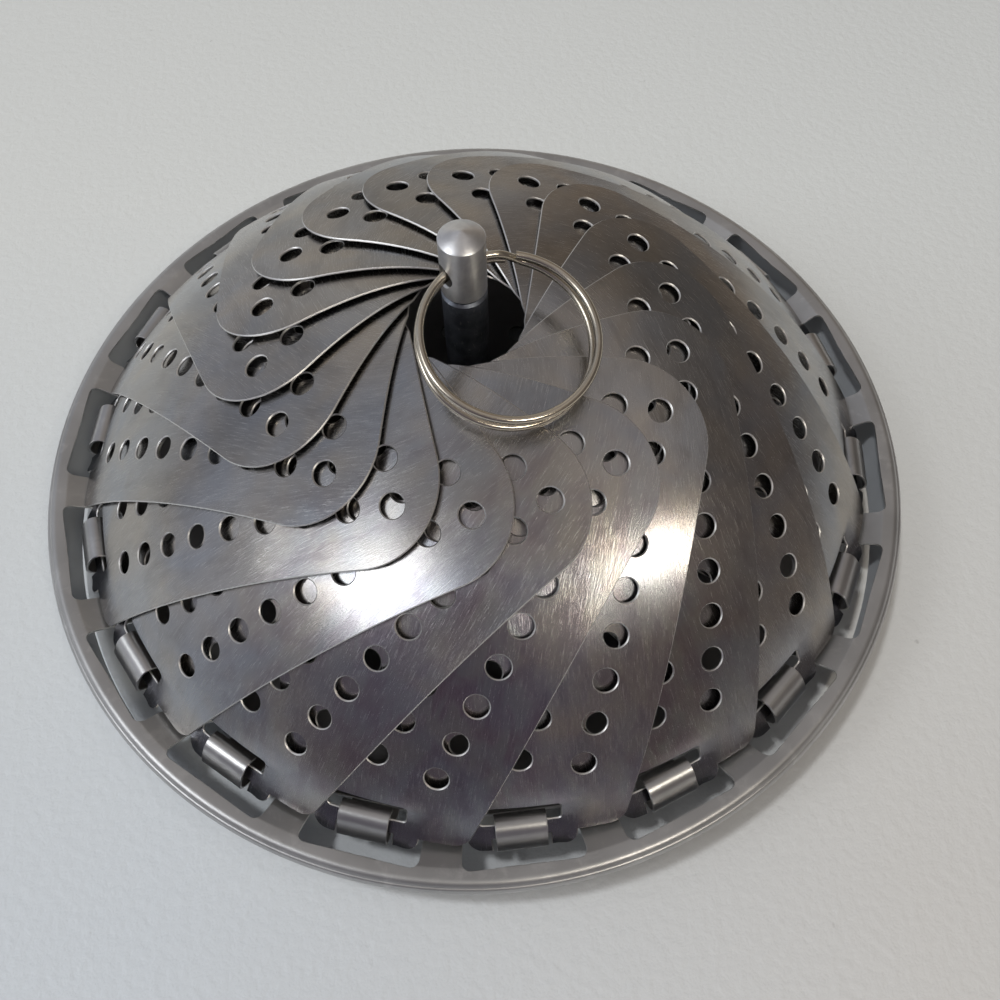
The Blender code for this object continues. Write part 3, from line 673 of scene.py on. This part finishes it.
def petalOutline():
    length = domeRadius * (hingeTilt - math.asin(petal["centreOpening"] / domeRadius))
    freeSide = length - petal["freeEdgeBow"]
    right = petal["shoulderRight"]
    left = petal["shoulderLeft"]
    rightEnd = right + math.tan(math.radians(petal["rightEdgeDeg"])) * freeSide
    leftEnd = left + math.tan(math.radians(petal["leftEdgeDeg"])) * freeSide
    foot = -petal["shoulderDepth"]
    bar = -petal["barHalfDepth"]
    lug = -petal["lugDepth"]
    notch = petal["notchHalf"]
    lugHalf = petal["lugHalf"]
    lugTurn = (petal["lugCorner"], petal["lugSteps"])
    shoulderTurn = (petal["shoulderCorner"], petal["shoulderSteps"])
    freeTurn = (petal["freeCorner"], petal["freeSteps"])
    sharp = (0, 0)
    return length, roundedLoop((
        ((bar, -notch), *sharp),
        ((bar, notch), *sharp),
        ((lug, notch), *sharp),
        ((lug, lugHalf), *lugTurn),
        ((foot, lugHalf), *sharp),
        ((foot, right), *shoulderTurn),
        ((freeSide, rightEnd), *freeTurn),
        ((length, 0), *sharp),
        ((freeSide, -leftEnd), *freeTurn),
        ((foot, -left), *shoulderTurn),
        ((foot, -lugHalf), *sharp),
        ((lug, -lugHalf), *lugTurn),
        ((lug, -notch), *sharp),
    ))


def flatPetal():
    # The outline is written clockwise, and cutPlate takes it the other way round
    length, outline = petalOutline()
    outline = divided(outline[::-1], petal["longestEdge"])
    slotTurn = (petal["slotCorner"], petal["slotSteps"])
    slot = roundedLoop((
        ((petal["barHalfDepth"], -petal["slotHalf"]), *slotTurn),
        ((petal["slotEnd"], -petal["slotHalf"]), *slotTurn),
        ((petal["slotEnd"], petal["slotHalf"]), *slotTurn),
        ((petal["barHalfDepth"], petal["slotHalf"]), *slotTurn),
    ))
    holes = [divided(slot, petal["longestEdge"])[::-1]]
    for start, step, count in holeRows.values():
        for i in range(count):
            centre = Vector(start) + Vector(step) * i
            holes.append(circle(centre, petal["holeRadius"], petal["holeSides"])[::-1])
    pitch = petalGrid["pitch"]
    rows = np.arange(petalGrid["foot"], length, pitch * petalGrid["rowShare"])
    columns = np.arange(-petalGrid["halfWidth"], petalGrid["halfWidth"], pitch)
    # Every second row stands half a pitch to the side
    loose = [(along, across + (i % 2) * pitch / 2) for i, along in enumerate(rows) for across in columns]
    loose = np.array(loose)
    loose = loose[insideMask(loose, outline)]
    loose = loose[edgeGap(loose, outline) > pitch * petalGrid["rimClearShare"]]
    loose = clearOf(holes, loose, pitch * petalGrid["holeClearShare"])
    return cutPlate(outline, holes, loose, [], petal["brokenEdge"])


# How the flat leaf is laid on the dome, by the names of the tree's inputs
bendSizes = {
    "Dome radius": domeRadius,
    "Dome centre": domeCentre,
    "Hinge tilt": hingeTilt,
    "Spiral pitch": 0.0024,
    "Roll": math.tan(math.radians(1.6)),
    "Bar sink": dome["barSink"],
    "Bar fade start": 0.0005,
    "Bar fade": 0.0050,
    "Side fade start": 0.0045,
    "Side fade": 0.0030,
    "Flare": 0.25,
    "Flare width": 0.0008,
}


def bendTree():
    # Bends a flat plate over the dome: X is the way from the hinge, Y the way across and Z the height.
    tree = bpy.data.node_groups.new("bendOverDome", "GeometryNodeTree")
    tree.interface.new_socket("Geometry", in_out="INPUT", socket_type="NodeSocketGeometry")
    for name in (*bendSizes, "Turn"):
        tree.interface.new_socket(name, in_out="INPUT", socket_type="NodeSocketFloat")
    tree.interface.new_socket("Material", in_out="INPUT", socket_type="NodeSocketMaterial")
    tree.interface.new_socket("Geometry", in_out="OUTPUT", socket_type="NodeSocketGeometry")
    graph = Graph(tree)
    entry = graph.node("NodeGroupInput").socket.node
    given = {socket.name: Wire(graph, socket) for socket in entry.outputs if socket.name}
    along, across, height = graph.parts(graph.node("GeometryNodeInputPosition"))
    radius = given["Dome radius"]
    tilt = given["Hinge tilt"] - along / radius
    turn = across / radius
    normalX = turn.cosine() * tilt.sine()
    normalY = turn.sine()
    normalZ = turn.cosine() * tilt.cosine()
    bearing = normalY.math("ARCTAN2", normalY, normalX)
    spiral = given["Spiral pitch"] * bearing + given["Roll"] * radius * normalY
    # The spiral fades out near the bar, where the leaf lies level
    fades = []
    smooth = {"interpolation_type": "SMOOTHSTEP"}
    for value, name in ((along, "Bar fade"), (across.size(), "Side fade")):
        share = (value - given[f"{name} start"]) / given[name]
        fades.append(graph.node("ShaderNodeMapRange", smooth, {"Value": share}))
    body = fades[0].most(fades[1])
    # Past the hinge line the lugs are bent flatter, toward the rim
    width = given["Flare width"]
    flare = given["Flare"] * (((along * along + width * width).root() - along) / 2 - width / 4)
    reach = radius + body * spiral - (1 - body) * given["Bar sink"] + flare + height
    point = {"X": reach * normalX, "Y": reach * normalY, "Z": reach * normalZ + given["Dome centre"]}
    moved = graph.node("GeometryNodeSetPosition", None, {
        "Geometry": given["Geometry"],
        "Position": graph.node("ShaderNodeCombineXYZ", None, point),
    })
    spin = graph.node("ShaderNodeCombineXYZ", None, {"Z": given["Turn"]})
    turned = graph.node("GeometryNodeTransform", None, {"Geometry": moved, "Rotation": spin})
    real = graph.node("GeometryNodeRealizeInstances", None, {"Geometry": turned})
    steel = {"Geometry": real, "Material": given["Material"]}
    dressed = graph.node("GeometryNodeSetMaterial", None, steel)
    graph.node("NodeGroupOutput", None, {"Geometry": dressed})
    return tree


def setInputs(modifier, values):
    for socket in modifier.node_group.interface.items_tree:
        if socket.in_out == "INPUT" and socket.name in values:
            modifier[socket.identifier] = values[socket.name]


def layLevel(points, heights):
    return np.c_[points, heights]


def makePetals(steel):
    flat, faces, push = flatPetal()
    plate = closedSheet("petalPlate", flat, faces, push, petal["sheet"], petal["brokenEdge"], layLevel)
    # The way along runs inward and the way across to the right, so the flat plate is inside out.
    plate.flip_normals()
    blank = linked("petalBlank", plate)
    bend = blank.modifiers.new("bend", "NODES")
    bend.node_group = bendTree()
    for k in range(dome["petals"]):
        number = f"{k + 1:02d}"
        turn = math.radians(dome["firstDeg"] + stepDeg * k)
        setInputs(bend, {**bendSizes, "Material": steel, "Turn": turn})
        blank.update_tag()
        mesh = shapedMesh(blank, f"petalSkin{number}")
        layer = mesh.uv_layers["sheet"].data
        spots = np.empty(2 * len(layer))
        layer.foreach_get("uv", spots)
        layer.foreach_set("uv", spots + leafShade["sheetPitch"] * k)
        cleanMesh(mesh, petal["sharpDeg"])
        addPiece(f"petalSkin{number}", mesh, steel, f"leaf_{number}", [f"petal_{number}"])
    bpy.data.objects.remove(blank)
    print("petals:", dome["petals"], "with", len(faces), "flat faces each")


# Dish
dish = {
    "sheet": 0.0005,
    "brokenEdge": 0.00007,
    "divisions": 216,
    "windowInner": 0.0584,
    "windowOuter": 0.0663,
    "windowInnerHalf": 0.0077,
    "windowOuterHalf": 0.0087,
    "windowCorner": 0.0012,
    "tongueHalf": 0.00355,
    "floorHoleRadius": 0.00165,
    "floorHoleSides": 28,
    "studHole": 0.0023,
    "studHoleSides": 40,
    "rivets": 3,
    "rivetHole": 0.0013,
    "rivetHoleSides": 24,
    "rivetCircle": 0.0395,
    "rivetFirstDeg": -90,
    "cornerSteps": 5,
    "windowSteps": 6,
    "longestEdge": 0.0012,
    "sharpDeg": 35,
}
# The triangles between the dish's outlines: circles of points between the windows and over the floor
dishGrid = {
    "windowPitch": 0.0014,
    "windowStop": 0.0008,
    "floorPitch": 0.006,
    "floorReach": 0.049,
    "floorSpokes": 72,
    "clearance": 0.0005,
}
# Corners of the dish's profile on the sheet's middle: radius, height, and the fillet there
dishProfile = (
    (0.0015, 0.00475, 0),
    (0.0500, 0.00475, 0.0080),
    (0.0560, 0.0059, 0.0030),
    (0.0572, 0.0074, 0.0010),
    (0.0664, 0.0122, 0.0012),
    (0.0682, 0.01255, 0.00080),
    (0.06875, 0.01185, 0.00010),
    (0.06895, 0.01185, 0.00020),
    (0.06925, 0.0113, 0.00040),
    (0.0677, 0.0016, 0),
)
floorRings = ((0.018, 9), (0.030, 15))


def profilePoints():
    corners = [Vector(corner[:2]) for corner in dishProfile]
    points = [corners[0]]
    for i in range(1, len(corners) - 1):
        fillet = dishProfile[i][2]
        points += cornerArc(corners[i - 1], corners[i], corners[i + 1], fillet, dish["cornerSteps"])
    points.append(corners[-1])
    return np.array(points)


profile = profilePoints()
profileReach = pathReach(profile) + profile[0][0]
coneEnd = int(np.argmax(profile[:, 1])) + 1  # the profile's points up to the top of the rim


def profileNormals():
    left = leftOf(np.diff(profile, axis=0))
    joined = np.r_[left[:1], (left[1:] + left[:-1]) / 2, left[-1:]]
    return joined / np.linalg.norm(joined, axis=1)[:, None]


profileLeft = profileNormals()


def layOnDish(points, heights):
    # The flat plate is the dish's profile rolled out, so a point's reach is its way along the profile
    reach = np.maximum(np.linalg.norm(points, axis=1), 1e-9)
    normal = between(reach, profileReach, profileLeft)
    normal /= np.linalg.norm(normal, axis=1)[:, None]
    placed = between(reach, profileReach, profile) + normal * heights[:, None]
    across = points / reach[:, None]
    return np.c_[across * placed[:, :1], placed[:, 1]]


def flattened(plan):
    # Where a point of the dish, as seen from above, lies on the flat plate
    radius = plan.length
    reach = float(np.interp(radius, profile[:coneEnd, 0], profileReach[:coneEnd]))
    return plan * (reach / radius)


def coneHeight(radius):
    return float(np.interp(radius, profile[:coneEnd, 0], profile[:coneEnd, 1]))


def windowLoop():
    inner, outer = dish["windowInner"], dish["windowOuter"]
    innerHalf, outerHalf = dish["windowInnerHalf"], dish["windowOuterHalf"]
    turn = (dish["windowCorner"], dish["windowSteps"])
    loop = roundedLoop((
        ((inner, -innerHalf), *turn),
        ((outer, -outerHalf), *turn),
        ((outer, outerHalf), *turn),
        ((inner, innerHalf), *turn),
    ))
    # A tongue's root has its own two points on the inner edge
    root = [Vector((inner, dish["tongueHalf"])), Vector((inner, -dish["tongueHalf"]))]
    return divided(loop + root, dish["longestEdge"])


def dishHoles():
    # Windows, the stud's hole, two rings of perforations and the rivets' holes
    window = windowLoop()
    windows = []
    for k in range(dome["petals"]):
        turn = Matrix.Rotation(math.radians(dome["firstDeg"] + stepDeg * k), 2)
        windows.append([flattened(turn @ point) for point in window])
    rounds = [((0, 0), dish["studHole"], dish["studHoleSides"])]
    for radius, count in floorRings:
        for i in range(count):
            place = polar(radius, 360 * i / count)
            rounds.append((place, dish["floorHoleRadius"], dish["floorHoleSides"]))
    for i in range(dish["rivets"]):
        place = polar(dish["rivetCircle"], dish["rivetFirstDeg"] + 360 * i / dish["rivets"])
        rounds.append((place, dish["rivetHole"], dish["rivetHoleSides"]))
    return [loop[::-1] for loop in windows + [circle(*hole) for hole in rounds]]


def makeDish(steel):
    holes = dishHoles()
    sides = dish["divisions"]
    rims = [circle((0, 0), float(reach), sides, dome["firstDeg"]) for reach in profileReach[1:]]
    loose = []
    # The points between the windows stand half a division off the seams' points
    windowStop = dish["windowOuter"] - dishGrid["windowStop"]
    for radius in np.arange(dish["windowInner"], windowStop, dishGrid["windowPitch"]):
        for i in range(sides):
            loose.append(flattened(polar(float(radius), dome["firstDeg"] + 360 * (i + 0.5) / sides)))
    spokes = dishGrid["floorSpokes"]
    for radius in np.arange(dishGrid["floorPitch"], dishGrid["floorReach"], dishGrid["floorPitch"]):
        loose += [polar(float(radius), 360 * i / spokes) for i in range(spokes)]
    loose = clearOf(holes, np.array(loose), dishGrid["clearance"])
    flat, faces, push = cutPlate(rims[-1], holes, loose, rims[:-1], dish["brokenEdge"])
    mesh = closedSheet("dishSkin", flat, faces, push, dish["sheet"], dish["brokenEdge"], layOnDish)
    cleanMesh(mesh, dish["sharpDeg"])
    addPiece("dishSkin", mesh, steel, "base", ["dish"])
    print("dish:", len(mesh.polygons), "faces")


# The dish's tongues, rolled over the petals' bars. The roll is a squarish oval about the hinge line, from
# one angle to another, with its middle a little outside that line.
curl = {
    "sheet": 0.0004,
    "middle": -0.0002,
    "halfLength": 0.0026,
    "halfHeight": 0.00178,
    "squareness": 2.6,
    "fromDeg": 196,
    "toDeg": -14,
    "steps": 60,
    "rootOverlap": 0.0006,
    "rootShares": (0, 0.33, 0.66),
    "rows": 34,
    "columns": 9,
    "slack": 1.001,
    "sharpDeg": 35,
}


def tonguePath():
    # From the root up round the outside of the bar, flat along it, and down into the petal's slot
    rootRadius = dish["windowInner"] - curl["rootOverlap"]
    root = Vector((rootRadius, coneHeight(rootRadius)))
    hinge = Vector((dome["hingeRadius"], dome["hingeHeight"]))
    inward = Vector((-math.cos(hingeTilt), math.sin(hingeTilt)))
    outward = Vector((math.sin(hingeTilt), math.cos(hingeTilt)))
    points = []
    for degrees in np.linspace(curl["fromDeg"], curl["toDeg"], curl["steps"]):
        parts = [math.cos(math.radians(degrees)), math.sin(math.radians(degrees))]
        x, y = (math.copysign(abs(part) ** (2 / curl["squareness"]), part) for part in parts)
        reach = curl["middle"] + curl["halfLength"] * x
        points.append(hinge + inward * reach + outward * curl["halfHeight"] * y)
    return np.array([root.lerp(points[0], share) for share in curl["rootShares"]] + points)


def makeCurls(steel):
    # One tongue, copied round. Its root lies in the window's inner edge.
    path = tonguePath()
    reach = pathReach(path)
    left = leftOf(np.gradient(path, axis=0))
    half = dish["tongueHalf"]
    whole = float(reach[-1])
    outline = [Vector(point) for point in ((0, -half), (whole, -half), (whole, half), (0, half))]
    outline = divided(outline, whole / (curl["rows"] - 1) * curl["slack"])
    rows = np.linspace(0, whole, curl["rows"])[1:-1]
    columns = np.linspace(-half, half, curl["columns"])[1:-1]
    spots = [(x, y) for x in rows for y in columns]
    flat, faces, push = cutPlate(outline, [], spots, [], dish["brokenEdge"])

    def layOnCurl(points, heights):
        shown = points[:, 0]
        placed = between(shown, reach, path) + between(shown, reach, left) * heights[:, None]
        return np.c_[placed[:, 0], points[:, 1], placed[:, 1]]

    one = closedSheet("curl", flat, faces, push, curl["sheet"], dish["brokenEdge"], layOnCurl)
    build = bmesh.new()
    one.transform(Matrix.Rotation(math.radians(dome["firstDeg"]), 4, "Z"))
    for _ in range(dome["petals"]):
        build.from_mesh(one)
        one.transform(Matrix.Rotation(math.radians(stepDeg), 4, "Z"))
    mesh = meshFrom(build, "hingeCurls")
    cleanMesh(mesh, curl["sharpDeg"])
    addPiece("hingeCurls", mesh, steel, "base")
    print("curls:", dome["petals"])


# Post
post = {
    "radius": 0.00305,
    "sides": 96,
    "holeDeg": 29,
    "holeHeight": 0.05648031,
    "holeRadius": 0.0016,
    "capBelow": 0.0040,
    "capAbove": 0.0054,
    "cone": 0.0012,
    "topRoundShare": 0.4,
    "chamfer": 0.00035,
    "neck": 0.0016,
    "neckHeight": 0.0019,
    "gap": 0.0003,
    "stud": 0.0020,
    "studEnd": 0.0004,
    "foot": 0.0053,
    "stemSharpDeg": 30,
    "capSharpDeg": 25,
}
# The cone's rounded point: shares of the post's radius and of the cone's height
coneShares = ((0.5, 0.5), (0.12, 0.86), (0, 0.93))
# The drill for the cross hole, which widens at both mouths
crossDrill = {
    "sides": 48,
    "lengthShare": 1.6,
    "mouth": 0.00022,
    "mouthTop": 0.00002,
    "mouthDepth": 0.00032,
    "outerFlare": 0.0016,
}


def lathe(name, outline, sides):
    build = bmesh.new()
    rows = []
    for radius, height in outline:
        places = circle((0, 0), radius, sides) if radius > 0 else [(0, 0)]
        rows.append([build.verts.new((*place, height)) for place in places])
    for low, high in zip(rows, rows[1:]):
        for i in range(sides):
            j = (i + 1) % sides
            corners = [low[i % len(low)], low[j % len(low)], high[j % len(high)], high[i % len(high)]]
            build.faces.new(list(dict.fromkeys(corners)))
    bmesh.ops.recalc_face_normals(build, faces=build.faces)
    return meshFrom(build, name)


capFoot = post["holeHeight"] - post["capBelow"]


def makeStem(steel):
    edge = post["chamfer"]
    wide = post["radius"]
    shoulder = capFoot - post["gap"]
    neckTop = capFoot + post["neckHeight"]
    stem = lathe("stemSkin", (
        (0, post["studEnd"]),
        (post["stud"] - edge, post["studEnd"]),
        (post["stud"], post["studEnd"] + edge),
        (post["stud"], post["foot"]),
        (wide - edge, post["foot"]),
        (wide, post["foot"] + edge),
        (wide, shoulder - edge),
        (wide - edge, shoulder),
        (post["neck"], shoulder),
        (post["neck"], neckTop),
        (0, neckTop),
    ), post["sides"])
    cleanMesh(stem, post["stemSharpDeg"])
    addPiece("stemSkin", stem, steel, "base", ["post_stem"])


def drillTool():
    wide = post["radius"]
    end = wide * crossDrill["lengthShare"]
    narrow = post["holeRadius"]
    mouth = narrow + crossDrill["mouth"]
    flare = mouth + crossDrill["outerFlare"]
    drill = lathe("crossDrill", (
        (0, -end),
        (flare, -end),
        (mouth, -wide + crossDrill["mouthTop"]),
        (narrow, -wide + crossDrill["mouthDepth"]),
        (narrow, wide - crossDrill["mouthDepth"]),
        (mouth, wide - crossDrill["mouthTop"]),
        (flare, end),
        (0, end),
    ), crossDrill["sides"])
    lay = Matrix.Rotation(math.radians(post["holeDeg"]), 4, "Z") @ Matrix.Rotation(math.pi / 2, 4, "Y")
    drill.transform(Matrix.Translation((0, 0, post["holeHeight"])) @ lay)
    return linked("crossDrill", drill)


def makeCap(steel):
    top = post["holeHeight"] + post["capAbove"]
    edge = post["chamfer"]
    wide = post["radius"]
    soft = edge * post["topRoundShare"]
    bore = post["neck"] + post["gap"]
    boreTop = capFoot + post["neckHeight"] + post["gap"]
    blank = linked("capBlank", lathe("capBlank", (
        (0, boreTop),
        (bore, boreTop),
        (bore, capFoot),
        (wide - edge, capFoot),
        (wide, capFoot + edge),
        (wide, top - soft),
        (wide - soft, top),
        *((wide * across, top + post["cone"] * up) for across, up in coneShares),
    ), post["sides"]))
    tool = drillTool()
    cut = blank.modifiers.new("cut", "BOOLEAN")
    cut.object = tool
    cut.operation = "DIFFERENCE"
    mesh = shapedMesh(blank, "capSkin")
    bpy.data.objects.remove(blank)
    bpy.data.objects.remove(tool)
    cleanMesh(mesh, post["capSharpDeg"])
    addPiece("capSkin", mesh, steel, "base", ["post_cap"])


# Split ring
ring = {
    "radius": 0.0113,
    "wire": 0.0011,
    "turnGap": 0.00008,
    "endsAtDeg": 147,
    "endDeg": 3,
    "jogDeg": 10,
    "spread": 0.0022,
    "steps": 300,
    "sides": 18,
    "tiltDeg": 19.83750959,
    "sharpDeg": 40,
}


def makeRing(nickel):
    # Two turns of wire, each a circle that steps up to the other over a short jog
    wire = ring["wire"] / 2
    stack = wire + ring["turnGap"] / 2
    degrees = np.linspace(ring["endDeg"], 720 - ring["endDeg"], ring["steps"])
    share = np.clip((degrees - 360 + ring["jogDeg"]) / (2 * ring["jogDeg"]), 0, 1)
    upper = share * share * (3 - 2 * share)
    degrees += ring["endsAtDeg"]
    # The upper turn is sprung open, most of all across from the post
    height = stack * (2 * upper - 1) + upper * ring["spread"] * (1 + np.cos(np.radians(degrees))) / 2
    build = bmesh.new()
    rows = []
    spokes = circle((0, 0), wire, ring["sides"])
    for angle, level in zip(degrees, height):
        across = polar(1, float(angle))
        middle = Vector((ring["radius"] * (1 + across.x), ring["radius"] * across.y, float(level)))
        places = [middle + Vector((across.x * spoke.x, across.y * spoke.x, spoke.y)) for spoke in spokes]
        rows.append([build.verts.new(place) for place in places])
    for low, high in zip(rows, rows[1:]):
        for j in range(ring["sides"]):
            k = (j + 1) % ring["sides"]
            build.faces.new((low[j], low[k], high[k], high[j]))
    for row in (rows[0], rows[-1]):
        build.faces.new(row)
    bmesh.ops.recalc_face_normals(build, faces=build.faces)
    mesh = meshFrom(build, "ringSkin")
    lift = Matrix.Translation((0, 0, post["holeHeight"]))
    aim = Matrix.Rotation(math.radians(post["holeDeg"] - 90), 4, "Z")
    lean = Matrix.Rotation(math.radians(ring["tiltDeg"]), 4, "Y")
    sag = Matrix.Translation((-post["radius"] ** 2 / (4 * ring["radius"]), 0, 0))
    mesh.transform(lift @ aim @ lean @ sag)
    cleanMesh(mesh, ring["sharpDeg"])
    addPiece("ringSkin", mesh, nickel, "ring", ["split_ring"])
    print("ring: two turns")


# Legs, their brackets, pins and rivets, and the post's washer and nut: the solids, in steel
smallNames = ("leg", "post_washer", "post_nut")


def dressSmallParts(steel):
    for name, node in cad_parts.items():
        if name.startswith(smallNames):
            if not node.material_slots:
                node.data.materials.append(steel)
            for holder in node.material_slots:
                holder.material = steel
    print("small parts dressed")


# Camera, lamps, room and table
view = {
    "place": (0.0, -0.08905637, 0.15800053),
    "turnDeg": (28.446985, 0.513012, -3.615720),
    "lens": 37.1669,
    "sensor": 36.0,
    "clipStart": 0.005,
    "clipEnd": 20,
}


def setCamera():
    camera = bpy.data.cameras.new("photoView")
    camera.lens = view["lens"]
    camera.sensor_width = view["sensor"]
    camera.clip_start = view["clipStart"]
    camera.clip_end = view["clipEnd"]
    holder = linked("photoView", camera)
    holder.location = view["place"]
    holder.rotation_euler = Euler([math.radians(angle) for angle in view["turnDeg"]])
    bpy.context.scene.camera = holder


# Lamps: bearing and height in degrees as seen from the basket, distance, size, power, colour, and
# whether the metal shows them
lamps = {
    "window": (-163, 47, 0.9, (0.52, 0.46), 1.15, (0.93, 0.97, 1.0), True),
    "windowPane": (-160, 44, 0.88, (0.16, 0.30), 0.7, (0.97, 0.99, 1.0), True),
    "ceiling": (-58, 50, 1.1, (0.24, 0.22), 2.3, (1.0, 0.94, 0.82), True),
    "key": (-166, 74, 1.3, (0.10, 0.10), 6.7, (0.965, 0.985, 1.0), False),
    "fill": (-60, 80, 1.3, (0.8, 0.8), 2.4, (0.99, 0.985, 0.965), False),
}


def setLamps():
    for name, (bearing, height, distance, size, power, colour, shown) in lamps.items():
        light = bpy.data.lights.new(name, "AREA")
        light.shape = "RECTANGLE"
        light.size, light.size_y = size
        light.energy = power
        light.color = colour
        flat = polar(distance * math.cos(math.radians(height)), bearing)
        holder = linked(name, light)
        holder.location = (flat.x, flat.y, distance * math.sin(math.radians(height)))
        holder.rotation_euler = (-Vector(holder.location)).to_track_quat("-Z", "Y").to_euler()
        holder.visible_glossy = shown


# The dim room that the metal shows, cool on the left and warm on the right. Each patch has its bearing and
# height, the cosines of the angles from its middle where it ends and where it is full, and its colour.
roomBase = ((0.38, 0.39, 0.43), (0.25, 0.21, 0.175))
roomPatches = (
    (-66, 6, 0.30, 0.84, (0.095, 0.08, 0.09)),
    (14, 32, 0.80, 0.97, (0.13, 0.12, 0.11)),
    (-20, 8, 0.58, 0.90, (0.12, 0.105, 0.10)),
    (-118, 14, 0.60, 0.93, (0.115, 0.105, 0.13)),
    (96, 14, 0.86, 0.97, (0.43, 0.41, 0.38)),
    (40, 84, 0.80, 0.97, (0.36, 0.34, 0.335)),
)


def setWorld():
    world = bpy.data.worlds.new("room")
    world.use_nodes = True
    world.node_tree.nodes.clear()
    graph = Graph(world.node_tree)
    way = graph.node("ShaderNodeTexCoord", output="Generated")
    side = graph.parts(way)[0]
    room = graph.mix(graph.ramp(side * 0.5 + 0.5, (0.25, 0), (0.65, 1)), *roomBase)
    for bearing, height, low, high, colour in roomPatches:
        flat = polar(math.cos(math.radians(height)), bearing)
        aim = (flat.x, flat.y, math.sin(math.radians(height)))
        near = graph.vector("DOT_PRODUCT", {0: way, 1: aim}, "Value")
        room = graph.mix(graph.ramp(near, (low, 0), (high, 1)), room, colour)
    clutter = graph.noise(way, 2.6, 2.0, 0.5)
    room = graph.mix(1.0, room, 0.72 + 0.53 * graph.ramp(clutter, (0.38, 0), (0.62, 1)), "MULTIPLY")
    ground = graph.node("ShaderNodeBackground", None, {"Color": room, "Strength": 1.0})
    graph.node("ShaderNodeOutputWorld", None, {"Surface": ground})
    bpy.context.scene.world = world
    bpy.context.scene.view_settings.view_transform = "Standard"


table = {
    "halfWidth": 8,
    "farTone": (0.556, 0.567, 0.555),
    "leftTone": (0.468, 0.498, 0.530),
    "rightTone": (0.492, 0.482, 0.466),
    "cloudTone": (0.64, 0.64, 0.63),
    "fleckTone": (0.20, 0.19, 0.18),
    "toneSpan": 200,  # millimetres
    "roughness": 0.46,
    "pebbleDepth": 0.0004,
    "pebbleStrength": 0.6,
}


def tableTop():
    # Pebbled plastic with a few dark flecks
    material, graph = newGraph("tableTop")
    spot = graph.spot()
    pebble = graph.noise(spot, 0.62, 2.0, 0.5)
    fine = graph.noise(spot, 2.4, 2.0, 0.6)
    drift = graph.noise(spot, 0.012, 2.0, 0.5)
    cells = graph.node("ShaderNodeTexVoronoi", None, {"Vector": spot, "Scale": 0.062, "Randomness": 1.0})
    flecks = graph.ramp(cells + (fine - 0.5) * 0.05, (0.0, 1), (0.028, 0))
    flecks = flecks * graph.ramp(graph.noise(spot, 0.05), (0.46, 0), (0.50, 1))
    # Painted light: the far side is a little lighter, and the near side cooler on the left than on the
    # right, after the cool lamp on the left and the warm one on the right
    side, depth, _ = graph.parts(spot)
    rightward = graph.ramp(side / table["toneSpan"] + 0.5, (0.25, 0), (0.8, 1))
    away = graph.ramp(depth / table["toneSpan"] + 0.5, (0.15, 0), (0.85, 1))
    near = graph.mix(rightward, table["leftTone"], table["rightTone"])
    base = graph.mix(away, near, table["farTone"])
    tone = graph.mix(drift * 0.12, base, table["cloudTone"])
    colour = graph.mix(flecks * 0.5, tone, table["fleckTone"])
    relief = {"Strength": table["pebbleStrength"], "Distance": table["pebbleDepth"]}
    relief["Height"] = pebble + fine * 0.15
    normal = graph.node("ShaderNodeBump", None, relief)
    rough = table["roughness"] + 0.1 * fine
    finishSurface(graph, {"Base Color": colour, "Metallic": 0.0, "Roughness": rough, "Normal": normal})
    return material


def setTable(top):
    build = bmesh.new()
    bmesh.ops.create_grid(build, x_segments=1, y_segments=1, size=table["halfWidth"])
    mesh = meshFrom(build, "tableTop")
    mesh.materials.append(top)
    linked("tableTop", mesh)


setCamera()
setLamps()
setWorld()
setTable(tableTop())
print("stage: camera, lamps, room and table")
makePetals(petalSteel())
makeDish(plainSteel("dishSteel"))
makeCurls(plainSteel("curlSteel"))
makeStem(turnedMetal("stemMetalPaintedShade"))
makeCap(turnedMetal("capMetal"))
print("post: stem and cap")
makeRing(plainSteel("ringNickel"))
dressSmallParts(plainSteel("smallParts"))
